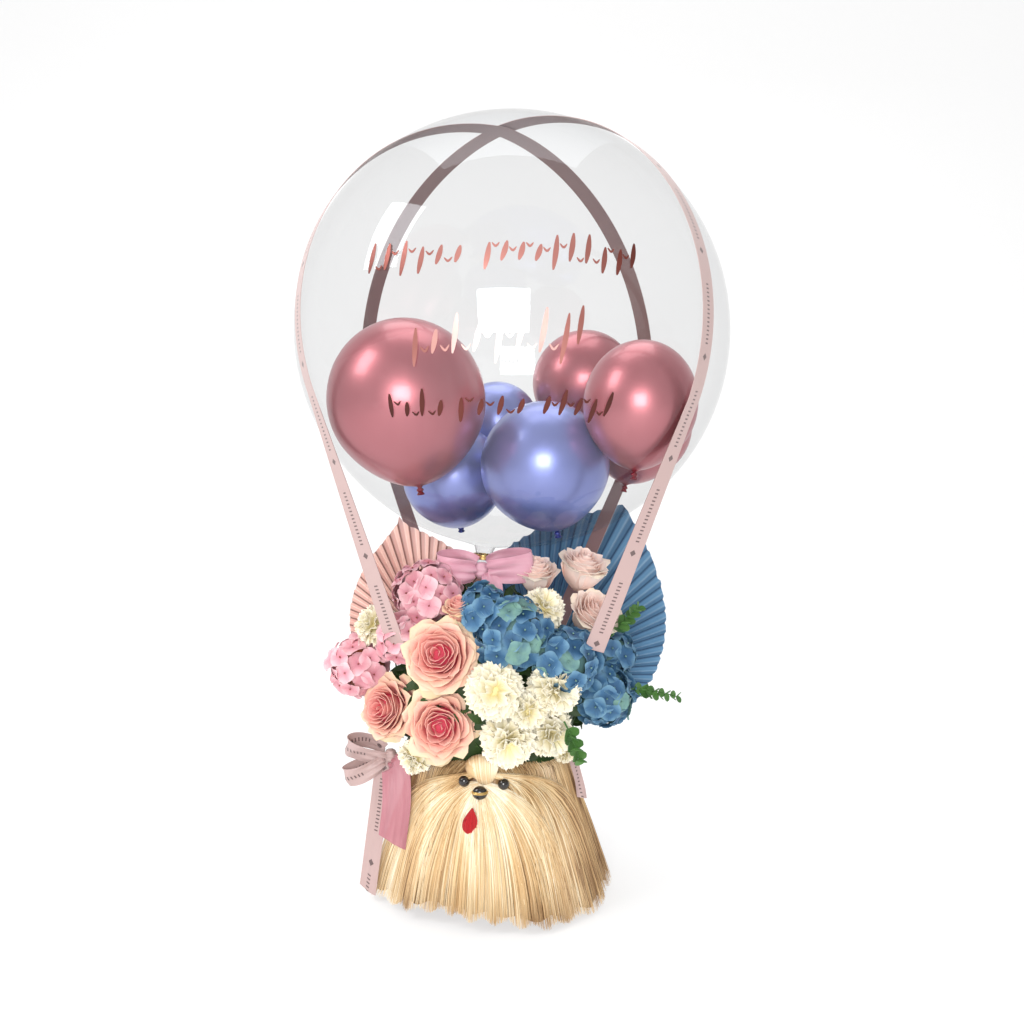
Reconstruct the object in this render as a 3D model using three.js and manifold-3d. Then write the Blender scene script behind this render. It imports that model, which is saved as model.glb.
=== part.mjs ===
// Bubble-balloon bouquet, made like a little hot-air balloon. A clear bubble balloon is tied above a mound of
// flowers by two ribbons that cross over its top. The mound fills the mouth of a pot, and the pot wears a long
// coat of blond hair with a small dog's face. Millimetres, +Z up. The origin is the middle of the pot's foot,
// and the face looks along -Y.
import * as THREE from 'three';
import { mergeVertices } from 'three/addons/utils/BufferGeometryUtils.js';
import Module from 'manifold-3d';

const wasm = await Module();
wasm.setup();

const { Vector3, Matrix3, Matrix4 } = THREE;
const rad = THREE.MathUtils.degToRad;
const at = (x, y, z) => new Vector3(x, y, z);
const heading = (azimuth) => at(Math.cos(rad(azimuth)), Math.sin(rad(azimuth)), 0);

// ---- Driving dimensions ------------------------------------------------------------------------------------

const GAP = 0.4; // air between two neighbouring solids
const SMALLEST_STEP = 0.15; // edges that leave a face by less than this are joined into it

const BUBBLE = { x: 29, z: 714, radius: 280, halfHeight: 274, lean: 7.5 };
const NECK = { radius: 10, from: 281, to: 316 }; // from and to are distances below the bubble's middle
const NECK_TIE = { radius: 15, from: 284, to: 293 };

const RIBBON = { width: 25, thickness: 0.8, lift: 1.5, crossingLift: 2.2, crossingSpread: 14 };
const CROSSING = at(16, -2, 988);
// side: where the ribbon runs down the bubble. end: where it is tucked in. facing: how it is turned there.
const RIBBON_LEGS = {
  frontLeft: { side: -152, end: at(-109, -84, 314), facing: -112 },
  backRight: { side: 42, end: at(95, 67, 330), facing: 48 },
  frontRight: { side: -40, end: at(127, -104, 322), facing: -78 },
  backLeft: { side: 142, end: at(-67, 70, 330), facing: 132 },
};

const POT = { foot: 78, rim: 92, height: 172, wall: 4, floor: 5 };

// The hair hangs from the pot's rim. It stands off the pot towards the hem, which is shorter in front.
const HAIR = { top: 166, rootRadius: 101, hemRadius: 156, hem: 2, locks: 11, lockDepth: 3 };
const HAIR_FRONT = { azimuth: -110, spread: 42, shorter: 15, closer: 20 };
const MUZZLE = { azimuth: -95, spread: 24, height: 136, tall: 26, depth: 11 };

const TOPKNOT = { place: at(-7, -103, 182), size: at(21, 13, 15) };
const EYES = { eye_left: at(-28, -104, 166), eye_right: at(19, -106, 163) };
const EYE_RADIUS = 7;
const NOSE = { place: at(-9, -114, 155), size: at(9, 7, 8) };
const TONGUE = { place: at(-20, -124, 126), width: 19, height: 34, depth: 7 };

// Radius and height above the rim, from the underside up to the shoulder.
const LEAF_BED = {
  height: 204,
  depthScale: 0.88,
  profile: [[98, 0], [106, 18], [122, 60], [121, 104], [100, 150], [56, 190]],
};

// Palm fans: a cut leaf, pleated like a paper fan, whose tip points along axis. spread is from axis each way.
const FANS = {
  palm_fan_pink: {
    pivot: at(-89, 30, 312), axis: 103, spread: [68, 92], tip: 176, side: 104, droop: 0.55, spreadAtSide: 69,
    tilt: 9, pleats: 14, colour: 0xd9a79d,
  },
  palm_fan_blue: {
    pivot: at(68, 50, 262), axis: 63, spread: [99, 62], tip: 296, side: 112, droop: 0.7, spreadAtSide: 96,
    tilt: 24, pleats: 17, colour: 0x4f7ca6,
  },
};
const FAN_HEEL = 16;
const FAN_THICKNESS = 1.2;
const PLEAT_DEPTH = 4;

// Flower heads: kind, the middle of the head, and its radius. Those in front come first and keep their shape.
const HEADS = {
  rose_front_upper: ['rose', at(-57, -111, 318), 44],
  rose_front_lower: ['rose', at(-56, -108, 233), 43],
  rose_left: ['rose', at(-130, -62, 243), 39],
  rose_top_middle: ['rose', at(60, -22, 408), 29],
  rose_top_right: ['rose', at(122, -14, 414), 33],
  rose_right: ['rose', at(134, -30, 355), 35],
  bud_upper_left: ['rose', at(-35, -84, 370), 20],
  carnation_middle: ['carnation', at(9, -124, 278), 35],
  carnation_middle_right: ['carnation', at(78, -106, 277), 33],
  carnation_front_lower: ['carnation', at(24, -106, 217), 34],
  carnation_right_lower: ['carnation', at(73, -92, 222), 31],
  carnation_centre: ['carnation', at(47, -116, 254), 25],
  carnation_top: ['carnation', at(66, -72, 366), 28],
  carnation_left: ['carnation', at(-143, -40, 342), 27],
  carnation_left_lower: ['carnation', at(-88, -84, 190), 22],
  carnation_right_small: ['carnation', at(95, -62, 189), 15],
  hydrangea_pink_top: ['hydrangea', at(-78, -40, 384), 43],
  hydrangea_pink_left: ['hydrangea', at(-166, -20, 290), 41],
  hydrangea_pink_middle: ['hydrangea', at(-108, -62, 330), 28],
  hydrangea_blue_middle: ['hydrangea', at(28, -92, 338), 47],
  hydrangea_blue_upper_left: ['hydrangea', at(-4, -86, 366), 32],
  hydrangea_blue_front: ['hydrangea', at(92, -92, 308), 40],
  hydrangea_blue_right: ['hydrangea', at(143, -40, 258), 42],
  hydrangea_blue_upper_right: ['hydrangea', at(160, -24, 304), 28],
};
// Plainer flowers close the mound at the back: two rows, each spread evenly between two azimuths.
const BACK_ROWS = [
  { height: 236, reach: 112, radius: 40, from: 28, to: 186, kinds: ['rose', 'hydrangea', 'carnation'], count: 6 },
  { height: 308, reach: 90, radius: 36, from: 76, to: 112, kinds: ['hydrangea', 'rose'], count: 2 },
];
const FLOWER_COLOURS = { rose: 0xeab4a6, carnation: 0xf4eddc, hydrangea: 0xd996b4 };
const BLUE_FLOWER = 0x4d80b8;
const MOUND_MIDDLE = at(0, 0, 262); // every head looks away from here

// Eucalyptus: a stem from root to tip, with pairs of round leaves.
const SPRIGS = {
  eucalyptus_upper_right: { root: at(158, -42, 332), tip: at(188, -52, 366), leaf: 8, pairs: 4 },
  eucalyptus_right: { root: at(178, -44, 262), tip: at(236, -58, 256), leaf: 7, pairs: 4 },
  eucalyptus_lower: { root: at(92, -116, 236), tip: at(108, -132, 200), leaf: 9, pairs: 3 },
};
const STEM_RADIUS = 1.3;

// Satin bow on the balloon's neck, and the ribbon bow with its tails at the pot's left.
const NECK_BOW = { knot: at(-10, -30, 412), knotSize: at(10, 8, 11), width: 32 };
const SIDE_BOW = { knot: at(-126, -38, 176), knotSize: at(9, 8, 9), width: 24 };
const BOW_THICKNESS = 1;
// A narrow ribbon end that hangs out of the flowers at the pot's right.
const RIGHT_TAIL = {
  points: [at(102, -24, 190), at(113, -30, 150), at(119, -34, 121)],
  facing: at(0.6, -1, 0),
  width: 13,
};

// ---- Solids ------------------------------------------------------------------------------------------------

// A closed solid from a three.js geometry: shared vertices are merged and empty triangles dropped.
function solid(geometry) {
  const bare = geometry.clone();
  bare.deleteAttribute('normal');
  bare.deleteAttribute('uv');
  const merged = mergeVertices(bare, 1e-4);
  const corners = merged.index.array;
  const triVerts = [];
  for (let i = 0; i < corners.length; i += 3) {
    const [a, b, c] = [corners[i], corners[i + 1], corners[i + 2]];
    if (a !== b && b !== c && c !== a) triVerts.push(a, b, c);
  }
  const mesh = new wasm.Mesh({
    numProp: 3,
    vertProperties: new Float32Array(merged.attributes.position.array),
    triVerts: new Uint32Array(triVerts),
  });
  return new wasm.Manifold(mesh);
}

function geometryOf(body) {
  const mesh = body.getMesh();
  const geometry = new THREE.BufferGeometry();
  geometry.setAttribute('position', new THREE.BufferAttribute(new Float32Array(mesh.vertProperties), 3));
  geometry.setIndex(new THREE.BufferAttribute(new Uint32Array(mesh.triVerts), 1));
  geometry.computeVertexNormals();
  return geometry;
}

// Moves every vertex of a geometry by a function that changes the vector it is given.
function bent(geometry, move) {
  const position = geometry.attributes.position;
  const point = new Vector3();
  for (let i = 0; i < position.count; i += 1) {
    point.fromBufferAttribute(position, i);
    move(point);
    position.setXYZ(i, point.x, point.y, point.z);
  }
  return geometry;
}

// A body turned about Z from its profile, a list of [radius, height].
function turned(profile, segments) {
  const outline = profile.map(([radius, height]) => new THREE.Vector2(radius, height));
  return new THREE.LatheGeometry(outline, segments).rotateX(Math.PI / 2);
}

function ellipsoid(place, size, segments, rings) {
  return new THREE.SphereGeometry(1, segments, rings).scale(size.x, size.y, size.z).translate(...place);
}

// A flat strip that runs through stations, each a place and the way its face looks.
function band(stations, width, thickness) {
  const last = stations.length - 1;
  const along = new Vector3();
  const side = new Vector3();
  const out = new Vector3();
  return bent(new THREE.BoxGeometry(1, 1, 1, last, 1, 1), (point) => {
    const i = Math.round((point.x + 0.5) * last);
    along.subVectors(stations[Math.min(i + 1, last)].place, stations[Math.max(i - 1, 0)].place).normalize();
    side.crossVectors(stations[i].facing, along).normalize();
    out.crossVectors(along, side);
    side.multiplyScalar(point.y * width);
    out.multiplyScalar(point.z * thickness);
    point.copy(stations[i].place).add(side).add(out);
  });
}

// What is left of a body clear of its neighbours, as one piece.
function clearOf(body, neighbours) {
  let left = body;
  for (const neighbour of neighbours) left = left.subtract(neighbour);
  const largest = left.decompose().sort((a, b) => b.volume() - a.volume())[0];
  return largest.simplify(SMALLEST_STEP);
}

// ---- Bubble balloon ----------------------------------------------------------------------------------------

const bubbleMiddle = at(BUBBLE.x, 0, BUBBLE.z);
const leaning = new Matrix4().makeRotationY(rad(BUBBLE.lean)).setPosition(bubbleMiddle);

// The film is blown nearly round and runs into the gathered neck.
function bubbleProfile() {
  const rings = 13;
  const lowest = 81;
  const profile = [];
  for (let i = 0; i <= rings; i += 1) {
    const angle = rad(90 - (i / rings) * (90 + lowest));
    const radius = i === 0 ? 0 : BUBBLE.radius * Math.cos(angle);
    profile.push([radius, BUBBLE.halfHeight * Math.sin(angle)]);
  }
  profile.push([NECK.radius * 1.5, -(BUBBLE.halfHeight + 2)], [NECK.radius, -NECK.from]);
  profile.push([NECK.radius, -NECK.to], [0, -NECK.to]);
  return profile.reverse();
}

const bubble = solid(turned(bubbleProfile(), 32).applyMatrix4(leaning));
const neckClearance = solid(turned([
  [0, -NECK.to - GAP], [NECK.radius + GAP, -NECK.to - GAP], [NECK.radius + GAP, -NECK.from + 1], [0, -NECK.from + 1],
], 16).applyMatrix4(leaning));

const neckTie = solid(turned([
  [NECK.radius + GAP, -NECK_TIE.to], [NECK_TIE.radius, -NECK_TIE.to + 2], [NECK_TIE.radius, -NECK_TIE.from - 2],
  [NECK.radius + GAP, -NECK_TIE.from], [NECK.radius + GAP, -NECK_TIE.to],
], 16).applyMatrix4(leaning));

// ---- Ribbons over the bubble -------------------------------------------------------------------------------

// In the unit frame the bubble is a ball of radius 1 round the origin, where tangents are easy to find.
const unitToBubble = leaning.clone().scale(at(BUBBLE.radius, BUBBLE.radius, BUBBLE.halfHeight));
const bubbleToUnit = unitToBubble.clone().invert();
const outwards = new Matrix3().getNormalMatrix(unitToBubble);
const crossingDirection = CROSSING.clone().applyMatrix4(bubbleToUnit).normalize();

// One leg, from the crossing down the bubble, then straight from where it leaves the film to its end.
function legStations(leg, liftAt) {
  const up = crossingDirection;
  const down = bubbleMiddle.clone().add(heading(leg.side)).applyMatrix4(bubbleToUnit);
  down.addScaledVector(up, -down.dot(up)).normalize();
  const end = leg.end.clone().applyMatrix4(bubbleToUnit);
  const [rise, run] = [end.dot(up), end.dot(down)];
  const leaves = Math.atan2(run, rise) - Math.acos(1 / Math.hypot(run, rise));
  const stations = [];
  const arcSteps = 14;
  for (let i = 0; i <= arcSteps; i += 1) {
    const angle = (i / arcSteps) * leaves;
    const onBall = up.clone().multiplyScalar(Math.cos(angle)).addScaledVector(down, Math.sin(angle));
    const facing = onBall.clone().applyMatrix3(outwards).normalize();
    const place = onBall.applyMatrix4(unitToBubble);
    stations.push({ place: place.addScaledVector(facing, liftAt(THREE.MathUtils.radToDeg(angle))), facing });
  }
  const from = stations[arcSteps];
  const endFacing = heading(leg.facing);
  const straightSteps = 8;
  for (let i = 1; i <= straightSteps; i += 1) {
    const t = i / straightSteps;
    const place = from.place.clone().lerp(leg.end, t);
    stations.push({ place, facing: from.facing.clone().lerp(endFacing, t).normalize() });
  }
  return stations;
}

function ribbonStations(first, second, crossingLift) {
  const liftAt = (angle) => RIBBON.lift + crossingLift * Math.exp(-((angle / RIBBON.crossingSpread) ** 2));
  const down = legStations(first, liftAt).reverse();
  const up = legStations(second, liftAt).slice(1);
  return [...down, ...up];
}

const ribbonRoutes = {
  ribbon_lower: ribbonStations(RIBBON_LEGS.frontLeft, RIBBON_LEGS.backRight, 0),
  ribbon_upper: ribbonStations(RIBBON_LEGS.frontRight, RIBBON_LEGS.backLeft, RIBBON.crossingLift),
};
const ribbonSolid = (route, extra) => solid(band(route, RIBBON.width + extra, RIBBON.thickness + extra));

// ---- Pot and hair ------------------------------------------------------------------------------------------

const potRadius = (z) => POT.foot + ((POT.rim - POT.foot) * z) / POT.height;
const pot = solid(turned([
  [0, 0], [POT.foot, 0], [POT.rim, POT.height], [POT.rim - POT.wall, POT.height],
  [potRadius(POT.floor) - POT.wall, POT.floor], [0, POT.floor],
], 32));

const bump = (offset, spread) => Math.exp(-((offset / spread) ** 2));
const turnBetween = (a, b) => ((((a - b + 180) % 360) + 360) % 360) - 180;

function hairCoat() {
  const rows = 5;
  const outer = [];
  for (let i = 0; i <= rows; i += 1) {
    outer.push([2, HAIR.hem + ((HAIR.top - HAIR.hem) * i) / rows]);
  }
  // Radius 2 marks the outside and radius 1 the side that lies on the pot, until both are set by height.
  const profile = [[1, HAIR.hem], ...outer, [1, HAIR.top], [1, HAIR.hem]];
  return bent(turned(profile, 44), (point) => {
    const azimuth = THREE.MathUtils.radToDeg(Math.atan2(point.y, point.x));
    const front = bump(turnBetween(azimuth, HAIR_FRONT.azimuth), HAIR_FRONT.spread);
    const outside = Math.hypot(point.x, point.y) > 1.5;
    const down = (HAIR.top - point.z) / (HAIR.top - HAIR.hem);
    const z = point.z + HAIR_FRONT.shorter * front * down;
    let radius = potRadius(z) + GAP;
    if (outside) {
      const hemRadius = HAIR.hemRadius - HAIR_FRONT.closer * front;
      const lock = HAIR.lockDepth * Math.cos(rad(HAIR.locks * azimuth)) * Math.min(1, 2 * down);
      const aside = turnBetween(azimuth, MUZZLE.azimuth);
      const muzzle = MUZZLE.depth * bump(aside, MUZZLE.spread) * bump(z - MUZZLE.height, MUZZLE.tall);
      radius = HAIR.rootRadius + (hemRadius - HAIR.rootRadius) * down ** 0.95 + lock + muzzle;
    }
    point.set(radius * Math.cos(rad(azimuth)), radius * Math.sin(rad(azimuth)), z);
  });
}

// The tongue is a drop of cloth, point upwards, with a rounded face.
function tongueDrop(extra) {
  const drop = ellipsoid(at(0, 0, 0), at(TONGUE.width / 2, TONGUE.depth / 2, TONGUE.height / 2), 9, 6);
  bent(drop, (point) => {
    const up = point.z / TONGUE.height + 0.5;
    point.x *= 1 - 0.65 * up ** 2;
    point.multiplyScalar(1 + (2 * extra) / TONGUE.width);
  });
  return solid(drop.rotateX(rad(18)).translate(...TONGUE.place));
}

// ---- Flower heads ------------------------------------------------------------------------------------------

// How far a head reaches at an angle from its axis (tilt, 0 in front) and round its axis (turn), for radius 1.
const HEAD_FORMS = {
  rose: (tilt, turn) => {
    const cup = 0.8 + 0.24 * Math.sin(Math.min(tilt, 2) * 1.15) ** 2 - 0.3 * Math.max(0, tilt - 1.8);
    return cup + 0.05 * Math.cos(5 * turn) * Math.sin(tilt);
  },
  carnation: (tilt, turn) => {
    const cushion = 0.92 + 0.06 * Math.cos(6 * tilt) - 0.22 * Math.max(0, tilt - 1.9);
    return cushion + 0.06 * Math.cos(5 * turn + 2 * tilt) * Math.sin(tilt);
  },
  hydrangea: (tilt, turn) => 0.93 + 0.07 * Math.cos(5 * turn) * Math.cos(4 * tilt),
};

function flowerHead(kind, place, radius, extra = 0) {
  const form = HEAD_FORMS[kind];
  const head = bent(new THREE.SphereGeometry(1, 8, 6).rotateX(Math.PI / 2), (point) => {
    const tilt = Math.acos(THREE.MathUtils.clamp(point.z, -1, 1));
    const turn = Math.atan2(point.y, point.x);
    point.multiplyScalar(radius * form(tilt, turn) + extra);
  });
  const facing = place.clone().sub(MOUND_MIDDLE).normalize();
  const turnTo = new THREE.Quaternion().setFromUnitVectors(at(0, 0, 1), facing);
  return solid(head.applyQuaternion(turnTo).translate(...place));
}

function backHeads() {
  const heads = {};
  BACK_ROWS.forEach((row, level) => {
    for (let i = 0; i < row.count; i += 1) {
      const azimuth = row.from + ((row.to - row.from) * i) / (row.count - 1);
      const kind = row.kinds[i % row.kinds.length];
      const place = heading(azimuth).multiplyScalar(row.reach).setZ(row.height);
      heads[`${kind}_back_${level + 1}_${i + 1}`] = [kind, place, row.radius];
    }
  });
  return heads;
}

// The packed greenery that the flower stems come out of. Its flat underside lies on the pot's rim.
function leafBed(extra) {
  const base = POT.height + GAP;
  const outline = LEAF_BED.profile.map(([radius, rise]) => [radius + extra, base + rise]);
  const top = base + LEAF_BED.height + extra;
  return solid(turned([[0, base - extra], ...outline, [0, top]], 16).scale(1, LEAF_BED.depthScale, 1));
}

// ---- Palm fans ---------------------------------------------------------------------------------------------

function palmFan(fan, extra) {
  const folds = fan.pleats * 2;
  const [before, after] = fan.spread;
  const sheet = bent(new THREE.BoxGeometry(1, 1, 1, folds, 1, 1), (point) => {
    const fold = Math.round((point.x + 0.5) * folds);
    const offAxis = -before + ((before + after) * fold) / folds;
    const fall = (Math.abs(offAxis) / fan.spreadAtSide) ** fan.droop;
    const reach = fan.tip - (fan.tip - fan.side) * fall;
    const radius = point.y < 0 ? FAN_HEEL - extra : reach + extra;
    const pleat = (fold % 2 === 0 ? 1 : -1) * PLEAT_DEPTH * Math.min(1, radius / fan.side);
    const angle = rad(fan.axis + offAxis);
    const depth = pleat + point.z * (FAN_THICKNESS + 2 * extra);
    point.set(radius * Math.cos(angle), depth, radius * Math.sin(angle));
  });
  return solid(sheet.rotateX(rad(-fan.tilt)).translate(...fan.pivot));
}

// ---- Eucalyptus --------------------------------------------------------------------------------------------

function eucalyptus(sprig) {
  const line = new THREE.LineCurve3(sprig.root, sprig.tip);
  const ring = new THREE.Shape().absarc(0, 0, STEM_RADIUS, 0, 2 * Math.PI);
  const stem = new THREE.ExtrudeGeometry(ring, { extrudePath: line, steps: 1, curveSegments: 3 });
  let whole = solid(stem);
  const along = sprig.tip.clone().sub(sprig.root).normalize();
  const aside = at(0, -0.4, 1).cross(along).normalize();
  const front = along.clone().cross(aside);
  for (let pair = 0; pair < sprig.pairs; pair += 1) {
    const middle = line.getPoint((pair + 0.6) / sprig.pairs);
    const size = sprig.leaf * (1 - 0.1 * pair);
    const sideways = pair % 2 === 0 ? aside : front;
    for (const way of [-1, 1]) {
      const leaf = ellipsoid(at(0, 0, 0), at(size, size * 0.8, 1.2), 6, 3);
      leaf.rotateY(rad(-28 * way));
      const axes = new Matrix4().makeBasis(sideways, along, sideways.clone().cross(along));
      leaf.applyMatrix4(axes).translate(...middle.clone().addScaledVector(sideways, way * size * 0.7));
      whole = whole.add(solid(leaf));
    }
  }
  return whole;
}

// ---- Bows --------------------------------------------------------------------------------------------------

// A loop of ribbon that leaves the knot and comes back to it. reach points from the knot to the loop's far end.
function bowLoop(knot, reach, rise, bend) {
  const steps = 12;
  const stations = [];
  for (let i = 0; i <= steps; i += 1) {
    const angle = rad(32 + (296 * i) / steps);
    const place = knot.clone().addScaledVector(reach, 0.56 - 0.5 * Math.cos(angle));
    place.addScaledVector(rise, 0.5 * Math.sin(angle)).addScaledVector(bend, Math.sin(angle) ** 2);
    const facing = reach.clone().multiplyScalar(-Math.cos(angle) / reach.lengthSq());
    facing.addScaledVector(rise, Math.sin(angle) / rise.lengthSq()).negate();
    stations.push({ place, facing });
  }
  return stations;
}

// A free ribbon end through a few hand-placed points.
function tail(points, facing) {
  const curve = new THREE.CatmullRomCurve3(points);
  return curve.getPoints(8).map((place) => ({ place, facing }));
}

const sideBowTail = (dx, dy, dz) => SIDE_BOW.knot.clone().add(at(dx, dy, dz));
const neckBowTail = (dx, dy, dz) => NECK_BOW.knot.clone().add(at(dx, dy, dz));
const BOW_BANDS = {
  neck_bow_loop_left: [bowLoop(NECK_BOW.knot, at(-54, -12, -2), at(4, 22, 40), at(0, 4, 0)), NECK_BOW.width],
  neck_bow_loop_right: [bowLoop(NECK_BOW.knot, at(64, -8, 4), at(-4, 20, 36), at(0, 4, 0)), NECK_BOW.width],
  neck_bow_tail: [
    tail([neckBowTail(2, -9.5, -8), neckBowTail(6, -15, -22), neckBowTail(3, -22, -36)], at(0.2, -1, 0.3)),
    NECK_BOW.width,
  ],
  side_bow_loop_back: [bowLoop(SIDE_BOW.knot, at(-52, -2, 12), at(-12, 0, 44), at(0, 4, 0)), SIDE_BOW.width],
  side_bow_loop_front: [bowLoop(SIDE_BOW.knot, at(-48, -16, -26), at(16, 0, -26), at(0, -4, 0)), SIDE_BOW.width],
  side_tail_long: [
    tail([sideBowTail(-7, -6, -14), sideBowTail(-14, -8, -66), sideBowTail(-26, -20, -162)], at(-0.3, -1, 0)),
    SIDE_BOW.width,
  ],
  side_tail_short: [
    tail([sideBowTail(16, -20, -10), sideBowTail(14, -30, -50), sideBowTail(6, -36, -96)], at(-0.1, -1, 0)),
    SIDE_BOW.width,
  ],
  tail_right: [tail(RIGHT_TAIL.points, RIGHT_TAIL.facing), RIGHT_TAIL.width],
};

const knotSolid = (bow, extra = 0) => solid(
  ellipsoid(bow.knot, bow.knotSize.clone().addScalar(extra), 8, 6),
);

// ---- Assembly ----------------------------------------------------------------------------------------------

const finishes = {
  film: { color: 0xe4e6e8, roughness: 0.05, metalness: 0 },
  gold: { color: 0xc79a4a, roughness: 0.3, metalness: 1 },
  ribbon: { color: 0xc9abab, roughness: 0.4, metalness: 0 },
  satin: { color: 0xd990a6, roughness: 0.35, metalness: 0 },
  pot: { color: 0xb08f97, roughness: 0.5, metalness: 0 },
  hair: { color: 0xd8bc92, roughness: 0.5, metalness: 0 },
  black: { color: 0x17130f, roughness: 0.2, metalness: 0 },
  tongue: { color: 0xd8262c, roughness: 0.6, metalness: 0 },
  leaves: { color: 0x2c4a26, roughness: 0.6, metalness: 0 },
  eucalyptus: { color: 0x4c7a3a, roughness: 0.5, metalness: 0 },
};

const bouquet = new THREE.Group();

// Each mesh keeps its own place: its geometry is drawn about origin, and the mesh stands there.
function addPiece(name, body, finish, origin = at(0, 0, 0)) {
  const geometry = geometryOf(body).translate(-origin.x, -origin.y, -origin.z);
  const mesh = new THREE.Mesh(geometry, new THREE.MeshStandardMaterial(finish));
  mesh.name = name;
  mesh.position.copy(origin);
  bouquet.add(mesh);
}

addPiece('bubble', bubble, finishes.film);
addPiece('neck_tie', neckTie, finishes.gold);
addPiece('pot', pot, finishes.pot);

// taken holds every solid so far, a little larger, so that the next one is cut clear of it.
const taken = [neckClearance];

for (const [name, route] of Object.entries(ribbonRoutes)) {
  addPiece(name, ribbonSolid(route, 0), finishes.ribbon);
  taken.push(ribbonSolid(route, 2 * GAP));
}

addPiece('neck_bow_knot', clearOf(knotSolid(NECK_BOW), taken), finishes.satin, NECK_BOW.knot);
addPiece('side_bow_knot', clearOf(knotSolid(SIDE_BOW), taken), finishes.ribbon, SIDE_BOW.knot);
taken.push(knotSolid(NECK_BOW, GAP), knotSolid(SIDE_BOW, GAP));
for (const [name, [stations, width]] of Object.entries(BOW_BANDS)) {
  const finish = name.startsWith('neck') ? finishes.satin : finishes.ribbon;
  addPiece(name, clearOf(solid(band(stations, width, BOW_THICKNESS)), taken), finish);
  taken.push(solid(band(stations, width + 2 * GAP, BOW_THICKNESS + 2 * GAP)));
}

const topknot = (extra) => solid(ellipsoid(TOPKNOT.place, TOPKNOT.size.clone().addScalar(extra), 10, 7));
const nose = (extra) => solid(ellipsoid(NOSE.place, NOSE.size.clone().addScalar(extra), 8, 6));
const eye = (place, extra) => solid(ellipsoid(place, at(1, 1, 1).multiplyScalar(EYE_RADIUS + extra), 8, 6));
const face = [topknot(GAP), nose(GAP), tongueDrop(GAP)];
addPiece('topknot', topknot(0), finishes.hair, TOPKNOT.place);
addPiece('nose', nose(0), finishes.black, NOSE.place);
addPiece('tongue', tongueDrop(0), finishes.tongue, TONGUE.place);
for (const [name, place] of Object.entries(EYES)) {
  addPiece(name, clearOf(eye(place, 0), face), finishes.black, place);
  face.push(eye(place, GAP));
}
addPiece('hair_coat', clearOf(solid(hairCoat()), [...face, ...taken]), finishes.hair);
taken.push(topknot(GAP));

for (const [name, fan] of Object.entries(FANS)) {
  addPiece(name, clearOf(palmFan(fan, 0), taken), { color: fan.colour, roughness: 0.8, metalness: 0 });
  taken.push(palmFan(fan, GAP));
}
addPiece('leaf_bed', clearOf(leafBed(0), taken), finishes.leaves);
taken.push(leafBed(GAP));

for (const [name, [kind, place, radius]] of Object.entries({ ...HEADS, ...backHeads() })) {
  const color = name.includes('blue') ? BLUE_FLOWER : FLOWER_COLOURS[kind];
  const head = clearOf(flowerHead(kind, place, radius), taken);
  addPiece(name, head, { color, roughness: 0.7, metalness: 0 }, place);
  taken.push(flowerHead(kind, place, radius, GAP));
}
for (const [name, sprig] of Object.entries(SPRIGS)) {
  addPiece(name, clearOf(eucalyptus(sprig), taken), finishes.eucalyptus);
}

export default bouquet;
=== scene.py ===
import math

import bpy
import numpy as np
from mathutils import Matrix


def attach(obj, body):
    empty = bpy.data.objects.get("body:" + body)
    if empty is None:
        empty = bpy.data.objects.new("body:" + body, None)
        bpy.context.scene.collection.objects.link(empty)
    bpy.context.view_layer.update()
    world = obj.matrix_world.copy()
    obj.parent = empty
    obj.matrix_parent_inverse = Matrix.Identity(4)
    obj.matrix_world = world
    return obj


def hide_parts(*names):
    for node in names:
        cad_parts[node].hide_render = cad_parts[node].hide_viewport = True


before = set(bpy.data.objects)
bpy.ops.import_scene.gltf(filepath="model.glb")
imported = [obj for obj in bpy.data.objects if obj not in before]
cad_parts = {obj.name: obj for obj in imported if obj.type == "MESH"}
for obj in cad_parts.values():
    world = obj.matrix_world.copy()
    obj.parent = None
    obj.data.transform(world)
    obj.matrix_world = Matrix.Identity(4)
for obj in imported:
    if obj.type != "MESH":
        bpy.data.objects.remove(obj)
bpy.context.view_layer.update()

# Looks of the bubble-balloon bouquet: a clear bubble with small balloons sealed in it, two ribbons over it, a
# mound of flowers with two palm fans, and a pot that wears a coat of hair with a small dog's face.
# Metres, +Z up, front towards -Y. Driving dimensions are written in millimetres and scaled by MM.

MM = 0.001


def mm(*values):
    """A point or a list of sizes given in millimetres."""
    return MM * np.array(values, float)


# ---- Driving dimensions, as in part.mjs unless a comment says otherwise --------------------------

BUBBLE_MIDDLE = mm(29, 0, 714)
BUBBLE_RADIUS = 280 * MM
BUBBLE_HALF_HEIGHT = 274 * MM
BUBBLE_LEAN = math.radians(7.5)
NECK_RADIUS = 10 * MM
NECK_TO = 316 * MM  # this and the tie's two places are distances below the bubble's middle
NECK_TIE_RADIUS = 15 * MM
NECK_TIE_FROM = 284 * MM
NECK_TIE_TO = 293 * MM
CORD_TURNS = 4  # the gold cord is wound where the tie's solid is
CORD_RADIUS = 1.3 * MM

RIBBON_WIDTH = 25 * MM
RIBBON_THICKNESS = 0.6 * MM  # thinner than the 0.8 mm of its solid
RIBBON_LIFT = 1.5 * MM
RIBBON_CROSSING_LIFT = 2.2 * MM
RIBBON_CROSSING_SPREAD = 14  # degrees
RIBBON_CROSSING = mm(16, -2, 988)
RIBBON_LEGS = {
    # where the leg runs down the bubble, where it is tucked in, and how it is turned there
    "front_left": (-152, mm(-109, -84, 314), -112),
    "back_right": (42, mm(95, 67, 330), 48),
    "front_right": (-40, mm(127, -104, 322), -78),
    "back_left": (142, mm(-67, 70, 330), 132),
}
RIBBONS = {
    "ribbon_lower": ("front_left", "back_right", 0.0),
    "ribbon_upper": ("front_right", "back_left", RIBBON_CROSSING_LIFT),
}

# ---- Geometry helpers ----------------------------------------------------------------------------


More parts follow.
